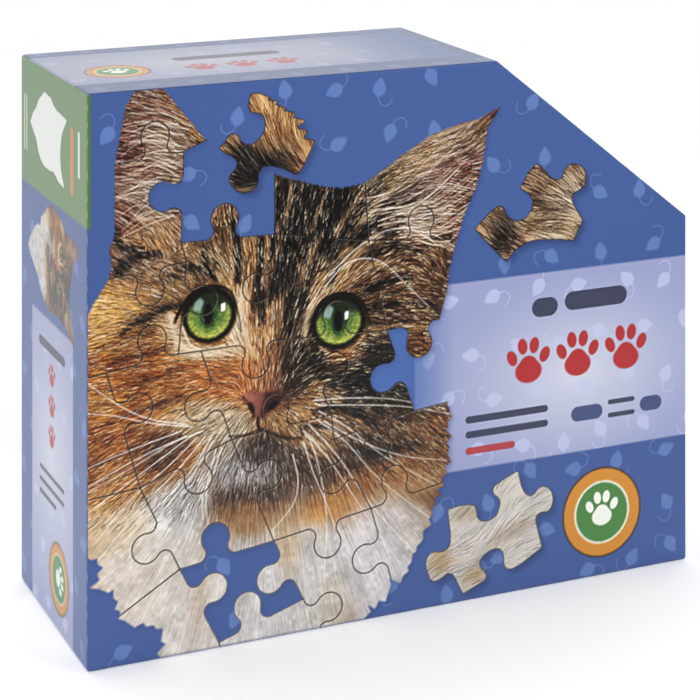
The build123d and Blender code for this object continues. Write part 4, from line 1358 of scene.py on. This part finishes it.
# ---- the printed wraps ----
rng = np.random.default_rng(7)
head = Canvas(HEAD_LOW, HEAD_HIGH, 5.0, BROWN)
paint_head(head, rng)
head_mask = Canvas(HEAD_LOW, HEAD_HIGH, 2.0, 0)
head_mask.rgb[..., 0] = full_cover(head_mask, HEAD)
front = paint_front(head, rng)
small_head = coarser(head, 4)
left = paint_left(small_head, head_mask, rng)
top = paint_top(rng)
back = paint_back(small_head, head_mask, rng)
plain = blue_side(2 * WIDTH, DEPTH + 2 * TURN_IN, rng)
right_side = blue_side(DEPTH, HEIGHT, rng)
label(right_side, -2, PANEL_LOW, DEPTH - 12, PANEL_HIGH, (30, 84, 60, 40), rng)


def worn_and_highlit(colours, strength, x, z):
    """Edges lighten in chips that vary with x and z: partly lost ink, partly a painted highlight where the
    rounded edges catch the light.
    """
    wear_and_gleam = 0
    for k, v in enumerate((x, z)):
        wear_and_gleam = wear_and_gleam + np.sin(v * (0.61 + 0.17 * k) + 1.7 * np.sin(v * 0.23 + k))
    amount = strength * np.clip(wear_and_gleam - 0.4, 0, 1)
    return colours + (np.array((0.86, 0.86, 0.88)) - colours) * amount[..., None]


def lid_colour(k):
    """The print on side k of the lid by x, distance from the front panel and height."""
    def at(x, down, z):
        if SIDES[k] == "left":
            tone = left.sample(DEPTH - down, z)
        elif SIDES[k] == "top":
            tone = top.sample(x, down)
        elif SIDES[k] == "right":
            tone = right_side.sample(down, z)
        else:
            along = x if SIDES[k] == "bottom" else np.hypot(x - WIDTH + CUT_ACROSS, z - HEIGHT)
            tone = plain.sample(along + 20, down)
        # wear and a painted highlight: the panel's edge and the rim are lightened
        panel_edge = np.clip(1 - np.abs(down - 1.0) / 0.7, 0, 1)
        rim_edge = np.clip(1 - np.abs(down - DEPTH) / 0.8, 0, 1)
        return worn_and_highlit(tone, 0.5 * (panel_edge + rim_edge), x, z)
    return at


def tray_colour(k):
    """The plain print on side k of the tray."""
    def at(x, down, z):
        run = np.array([-OUTWARD[k][1], OUTWARD[k][0]])
        return plain.sample(np.abs(x * run[0] + z * run[1]) % (2 * WIDTH - 4) + 2, down)
    return at


def back_colour(x, z):
    """The print on the tray's panel, which is seen from behind."""
    return back.sample(WIDTH - x, z)


lid_parts = [panel("lid_print_front", 0, LID_FRONT, FRONT_CELL, smooth_sample(front, 0.07), -1)]
tray_parts = [panel("tray_print_back", TRAY_INSET, TRAY_BACK, BACK_CELL, back_colour, 1)]
for k, side in enumerate(SIDES):
    cell = SEEN_CELL if side in ("left", "top") else SIDE_CELL
    lid_parts.append(wall(f"lid_print_{side}", k, 0, LID_FRONT, LID_RIM, cell, lid_colour(k), front.sample))
    tray_parts.append(wall(f"tray_print_{side}", k, TRAY_INSET, TRAY_BACK, TRAY_RIM, TRAY_CELL,
                           tray_colour(k), back_colour))
for obj in lid_parts:
    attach(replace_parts(obj, "lid_wrap"), "lid")
for obj in tray_parts:
    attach(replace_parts(obj, "tray_wrap"), "tray")


# ---- the puzzle pieces ----
PULP, PULP_BACK = (0.60, 0.56, 0.50), (0.58, 0.60, 0.60)
PRESSED = [(0.30, 0.0, 1.0), (0.09, 0.09, 1.0), (0.0, 0.30, 0.8)]   # inset, depth, brightness; 0.8 is painted shade at the gap between pieces
BOARD_EDGE = [(0.0, 0.38), (0.0, 1.85), (0.15, 2.0)]                # inset, depth
PICTURE_CELL, PLAIN_CELL = 0.8, 6.0    # how fine the mesh is on the picture and on the back
SHARP = 38.0                           # edges steeper than this many degrees stay sharp


def picture_outline(node):
    """The outline of a puzzle piece's picture side, anticlockwise from the front, in millimetres."""
    mesh = frame["nodes"][node].data
    co = np.array([v.co for v in mesh.vertices]) / MM
    face_y = co[:, 1].min()
    nearby = {}
    count = {}
    for poly in mesh.polygons:
        if abs(co[list(poly.vertices), 1] - face_y).max() > 0.01:
            continue
        keys = [(round(co[v, 0], 3), round(co[v, 2], 3)) for v in poly.vertices]
        for a, b in zip(keys, keys[1:] + keys[:1]):
            if a != b:
                count[(a, b)] = count.get((a, b), 0) + 1
    for a, b in count:
        if (b, a) not in count:
            nearby[a] = b
    first = next(iter(nearby))
    loop, at = [first], nearby[first]
    while at != first:
        loop.append(at)
        at = nearby[at]
    loop = np.array(loop)
    x, z = loop[:, 0], loop[:, 1]
    area = (x * np.roll(z, -1) - np.roll(x, -1) * z).sum()
    return loop if area > 0 else loop[::-1]


def shrunk(loop, inset):
    """An outline moved inwards."""
    ahead = np.roll(loop, -1, 0) - loop
    ahead /= np.linalg.norm(ahead, axis=1)[:, None]
    behind = np.roll(ahead, 1, 0)
    inward = np.column_stack([-(ahead + behind)[:, 1], (ahead + behind)[:, 0]])
    size = np.linalg.norm(inward, axis=1)[:, None]
    inward /= np.maximum(size, 1e-6)
    reach = np.minimum(1 / np.maximum(size / 2, 0.3), 1.6)
    return loop + inward * inset * reach


def filled(loop, cell):
    """Triangles that fill an outline, with an even grid of points inside it."""
    low, high = loop.min(0), loop.max(0)
    gx, gz = np.meshgrid(np.arange(low[0], high[0], cell), np.arange(low[1], high[1], cell))
    x, z = gx.ravel(), gz.ravel()
    odd = np.zeros(len(x), bool)
    clear = np.full(len(x), 1e9)
    for (ax, az), (bx, bz) in zip(loop, np.roll(loop, -1, 0)):
        if az != bz:
            odd ^= ((az > z) != (bz > z)) & (x < (bx - ax) * (z - az) / (bz - az) + ax)
        d = (bx - ax, bz - az)
        t = np.clip(((x - ax) * d[0] + (z - az) * d[1]) / (d[0] ** 2 + d[1] ** 2), 0, 1)
        clear = np.minimum(clear, np.hypot(x - ax - t * d[0], z - az - t * d[1]))
    keep = odd & (clear > cell * 0.45)
    given = [tuple(p) for p in loop] + list(zip(x[keep], z[keep]))
    ring = list(range(len(loop)))
    points, _, faces, origin, _, _ = delaunay_2d_cdt(given, [], [ring], 1, 1e-5)
    place = {}
    for k, sources in enumerate(origin):
        for source in sources:
            place[source] = k
    return np.array([tuple(p) for p in points]), [tuple(f) for f in faces], [place[k] for k in ring]


def turn_of(points, face):
    """Positive when a face runs anticlockwise seen from the front."""
    a, b, c = (points[v] for v in face[:3])
    return (b[0] - a[0]) * (c[1] - a[1]) - (b[1] - a[1]) * (c[0] - a[0])


def puzzle_picture(number, middle):
    """What is printed on one piece, by places on it, given the piece's middle in its box."""
    art_x, art_y, turned = PIECES[number - 1]

    def at(p):
        away = (p - middle) / PUZZLE_SCALE
        u, v = (away[:, 1], -away[:, 0]) if turned else (away[:, 0], away[:, 1])
        return head.sample(art_x + u, art_y + v)
    return at


def puzzle_piece(number):
    """One die-cut piece: picture pressed over its upper edge, grey sides and a plain back."""
    node, body = f"puzzle_piece_{number:02d}", f"piece_{number:02d}"
    low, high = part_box(node)
    face_y = low.y / MM
    picture = puzzle_picture(number, np.array([low.x + high.x, low.z + high.z]) / 2 / MM)
    loop = picture_outline(node)
    flat, faces, ring = filled(shrunk(loop, PRESSED[0][0]), PICTURE_CELL)
    faces = [f[::-1] if turn_of(flat, f) < 0 else f for f in faces]
    points, colours, rings = [standing(flat, face_y)], [picture(flat)], [np.array(ring)]
    total, n = len(flat), len(loop)
    # the rings' brightness is painted shade where the picture turns down at the piece's edge
    layers = [(i, d, b, True) for i, d, b in PRESSED[1:]] + [(i, d, 1.0, False) for i, d in BOARD_EDGE]
    for inset, deep, bright, inked in layers:
        line = shrunk(loop, inset)
        points.append(standing(line, face_y + deep))
        colours.append(picture(line) * bright if inked else np.tile(PULP, (n, 1)))
        rings.append(np.arange(total, total + n))
        total += n
    for upper, lower in zip(rings, rings[1:]):
        for k in range(n):
            j = (k + 1) % n
            faces.append((int(upper[k]), int(lower[k]), int(lower[j]), int(upper[j])))
    under, under_faces, _ = filled(line, PLAIN_CELL)
    points.append(standing(under, face_y + deep))
    colours.append(np.tile(PULP_BACK, (len(under), 1)))
    for f in under_faces:
        f = f if turn_of(under, f) < 0 else f[::-1]
        faces.append(tuple(total + v for v in f))
    obj = new_mesh("printed_" + body, np.concatenate(points), faces, np.concatenate(colours), puzzle_print)
    obj.data.set_sharp_from_angle(angle=math.radians(SHARP))
    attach(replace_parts(obj, node), body)


for number in range(1, len(PIECES) + 1):
    puzzle_piece(number)


# ---- the leaflet ----
FOLD_R, SHEET = 0.45, 0.2      # the fold's radius and the paper's thickness
SPRING, TWIST = 3.2, 1.2       # how far the upper leaf's edge stands off, and how much more at one end
LEAFLET_INSIDE = (0.90, 0.89, 0.86)


def paint_leaflet():
    """The leaflet's outside, opened flat: 300 wide and 105 high, the cover on its right half."""
    c = Canvas((0, 0), (304, 106), 3.5, LABEL)
    d = np.hypot((c.x - 230) / 90, (c.y - 50) / 70)
    c.tint(LABEL_LIGHT, np.clip(1 - d, 0, 1))
    c.area(rectangle(-1, 78, 305, 107), BLUE)
    mice(c, (0, 78), (304, 106), rng)
    thumbnail(c, small_head, head_mask, (265, 44), 0.36, 0)
    bars(c, [(170, 226, 66, 4.4)], INK)
    bars(c, [(170, 222 - (k % 3) * 6, 54 - 5 * k, 1.5) for k in range(8)], INK)
    bars(c, [(14, 128 - (k % 4) * 7, 66 - 5 * k, 1.5) for k in range(10)], INK)
    return c


def sheet_lines(fold_x, end_x):
    """The folded sheet from below: its outside and inside as (x, up), and the way along the outside."""
    path = [(x, 0.0, 0.0) for x in np.linspace(end_x, fold_x, 60)]
    for a in np.linspace(0, math.pi, 9)[1:-1]:
        path.append((fold_x - FOLD_R * math.sin(a), FOLD_R * (1 - math.cos(a)), a))
    path += [(x, 2 * FOLD_R, math.pi) for x in np.linspace(fold_x, end_x, 150)]
    outside = np.array([(x, up) for x, up, _ in path])
    inside = np.array([(x + math.sin(a) * SHEET, up + math.cos(a) * SHEET) for x, up, a in path])
    steps = np.hypot(*np.diff(outside, axis=0).T)
    return outside, inside, np.concatenate([[0], np.cumsum(steps)])


def leaflet():
    """A sheet folded once at the left; its upper leaf has sprung open a little."""
    low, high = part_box("picture_leaflet")
    end_x, low_z, high_z = high.x / MM, low.z / MM, high.z / MM
    fold_x = low.x / MM + FOLD_R
    outside, inside, walked = sheet_lines(fold_x, end_x)
    cover = paint_leaflet()
    rows = np.linspace(low_z, high_z, 106)
    n = len(outside)
    points, tones = [], []
    for z in rows:
        for line in (outside, inside[::-1]):
            x, up = line.T
            reach = np.clip((x - fold_x) / (end_x - fold_x), 0, 1)
            twist = TWIST * reach**3 * ((z - low_z) / (high_z - low_z) - 0.5)
            spring = np.where(up > FOLD_R, SPRING * reach**2 + twist, 0)
            points.append(np.column_stack([x, high.y / MM - up - spring, np.full(n, z)]))
        tones += [cover.sample(walked, np.full(n, z - low_z)), np.tile(LEAFLET_INSIDE, (n, 1))]
    faces = grid_faces(len(rows), 2 * n, closed=True).tolist()
    for row, flip in ((0, False), (len(rows) - 1, True)):
        for j in range(n - 1):
            quad = [row * 2 * n + v for v in (j, j + 1, 2 * n - 2 - j, 2 * n - 1 - j)]
            faces.append(quad[::-1] if flip else quad)
    obj = new_mesh("folded_leaflet", np.concatenate(points), faces, np.concatenate(tones), leaflet_print)
    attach(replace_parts(obj, "picture_leaflet"), "leaflet")


leaflet()

# ---- the boards and the paper stays keep their designed shapes ----
for node, finish in (("lid_board", greyboard), ("tray_board", greyboard),
                     ("lid_corner_stays", kraft), ("tray_corner_stays", kraft)):
    frame["nodes"][node].data.materials.clear()
    frame["nodes"][node].data.materials.append(finish)

# ---- studio and floor ----
scene = bpy.context.scene
scene.view_settings.view_transform = "Standard"
BRIGHT, DIM = 1.25, 0.12        # the studio is bright behind the box and dim behind the camera
FLOOR_HALF = 4.0
FADE_FROM, FADE_TO = 0.45, 1.4  # where the floor begins to turn white for the camera, and where it ends
LAMPS_AIM = (0, 0, 0.1)


def studio():
    """A white world for the camera; what it lights and mirrors is bright on one side only."""
    world = bpy.data.worlds.new("studio")
    scene.world = world
    world.use_nodes = True
    nodes, links = world.node_tree.nodes, world.node_tree.links
    sky = nodes["Background"]
    seen = nodes.new("ShaderNodeBackground")
    for light in (sky, seen):
        light.inputs["Color"].default_value = (1, 1, 1, 1)
    toward = nodes.new("ShaderNodeTexCoord")
    split = nodes.new("ShaderNodeSeparateXYZ")
    links.new(toward.outputs["Generated"], split.inputs["Vector"])
    strength = ranged(nodes, links, split.outputs["Y"], -0.15, 0.25, DIM, BRIGHT)
    links.new(strength, sky.inputs["Strength"])
    camera_ray = nodes.new("ShaderNodeLightPath").outputs["Is Camera Ray"]
    both = mixed(nodes, links, camera_ray, sky.outputs["Background"], seen.outputs["Background"])
    links.new(both, nodes["World Output"].inputs["Surface"])


def floor_finish():
    """Pale and matt; dark where the box's glossy front mirrors it, and white far off for the camera."""
    made, nodes, links, shader = material("pale floor")
    shader.inputs["Base Color"].default_value = (0.96, 0.96, 0.96, 1)
    shader.inputs["Roughness"].default_value = 0.9
    shader.inputs["Emission Color"].default_value = (1, 1, 1, 1)
    shader.inputs["Emission Strength"].default_value = 0.22
    place = nodes.new("ShaderNodeNewGeometry").outputs["Position"]
    ray = nodes.new("ShaderNodeLightPath")
    # the box's glossy front should mirror a dim studio, not the lit floor in front of it
    split = nodes.new("ShaderNodeSeparateXYZ")
    links.new(place, split.inputs["Vector"])
    before = ranged(nodes, links, split.outputs["Y"], -0.05, -0.35, 0, 1)
    mirrored = product(nodes, links, before, ray.outputs["Is Glossy Ray"])
    dark = nodes.new("ShaderNodeBsdfDiffuse")
    dark.inputs["Color"].default_value = (0.12, 0.12, 0.12, 1)
    near = mixed(nodes, links, mirrored, shader.outputs["BSDF"], dark.outputs["BSDF"])
    # far from the box the camera sees the floor turn white, so that it has no horizon
    reach = nodes.new("ShaderNodeVectorMath")
    reach.operation = "LENGTH"
    links.new(place, reach.inputs[0])
    fading = ranged(nodes, links, reach.outputs["Value"], FADE_FROM, FADE_TO, 0, 1)
    unseen = product(nodes, links, fading, ray.outputs["Is Camera Ray"])
    white = nodes.new("ShaderNodeEmission").outputs["Emission"]
    links.new(mixed(nodes, links, unseen, near, white), nodes["Material Output"].inputs["Surface"])
    return made


def pale_floor():
    """A wide square just under the box."""
    mesh = bpy.data.meshes.new("floor")
    corners = [(x, y, 0) for x, y in rectangle(-FLOOR_HALF, -FLOOR_HALF, FLOOR_HALF, FLOOR_HALF)]
    mesh.from_pydata(corners, [], [(0, 1, 2, 3)])
    mesh.materials.append(floor_finish())
    obj = bpy.data.objects.new("floor", mesh)
    obj.location.z = cad_low.z - 0.0002
    scene.collection.objects.link(obj)
    return obj


def softbox(name, place, size, power):
    """A square lamp that points at the box."""
    lamp = bpy.data.lights.new(name, "AREA")
    lamp.size = size
    lamp.energy = power
    obj = bpy.data.objects.new(name, lamp)
    obj.location = place
    away = np.array(LAMPS_AIM) - np.array(place)
    flat = math.hypot(away[0], away[1])
    obj.rotation_euler = (math.atan2(flat, -away[2]), 0, math.atan2(away[1], away[0]) - math.pi / 2)
    scene.collection.objects.link(obj)
    return obj


studio()
floor = pale_floor()
lamps = [softbox("key", (-0.5, -1.5, 1.3), 1.0, 20), softbox("fill", (1.1, -1.4, 0.9), 0.8, 8)]

# ---- the camera ----
CAMERA_AT = (-0.3404, -0.7653, 0.3428)
CAMERA_TURN = -23.63
LID_OFF = -0.30        # how far the lid has gone along y when it is off the tray
# Each camera setting with the box closed, and with the lid off so that both halves stay in view.
LENS = (112.88, 57.5)
SHIFT = {"shift_x": (0.0087, 0.2350), "shift_y": (-0.9706, -0.7008)}


def follow_lid(data, setting, closed, opened):
    """Drives a camera setting by how far the lid has slid off."""
    driver = data.driver_add(setting).driver
    driver.type = "SCRIPTED"
    for name, target in (("y", camera), ("lid_y", frame["bodies"]["lid"])):
        place = driver.variables.new()
        place.name = name
        place.type = "TRANSFORMS"
        place.targets[0].id = target
        place.targets[0].transform_type = "LOC_Y"
    amount = f"{closed} + ({opened} - ({closed})) * lid_y / ({LID_OFF})"
    if setting in SHIFT:
        # the lens shift holds only where the camera stands now, so that other views stay centred
        amount = f"({amount}) if abs(y - ({CAMERA_AT[1]})) < 1e-4 else 0"
    driver.expression = amount


camera_data = bpy.data.cameras.new("camera")
camera_data.lens = LENS[0]
camera = bpy.data.objects.new("camera", camera_data)
camera.location = CAMERA_AT
camera.rotation_euler = (math.radians(90), 0, math.radians(CAMERA_TURN))
scene.collection.objects.link(camera)
scene.camera = camera
for setting, ends in {"lens": LENS, **SHIFT}.items():
    follow_lid(camera_data, setting, *ends)
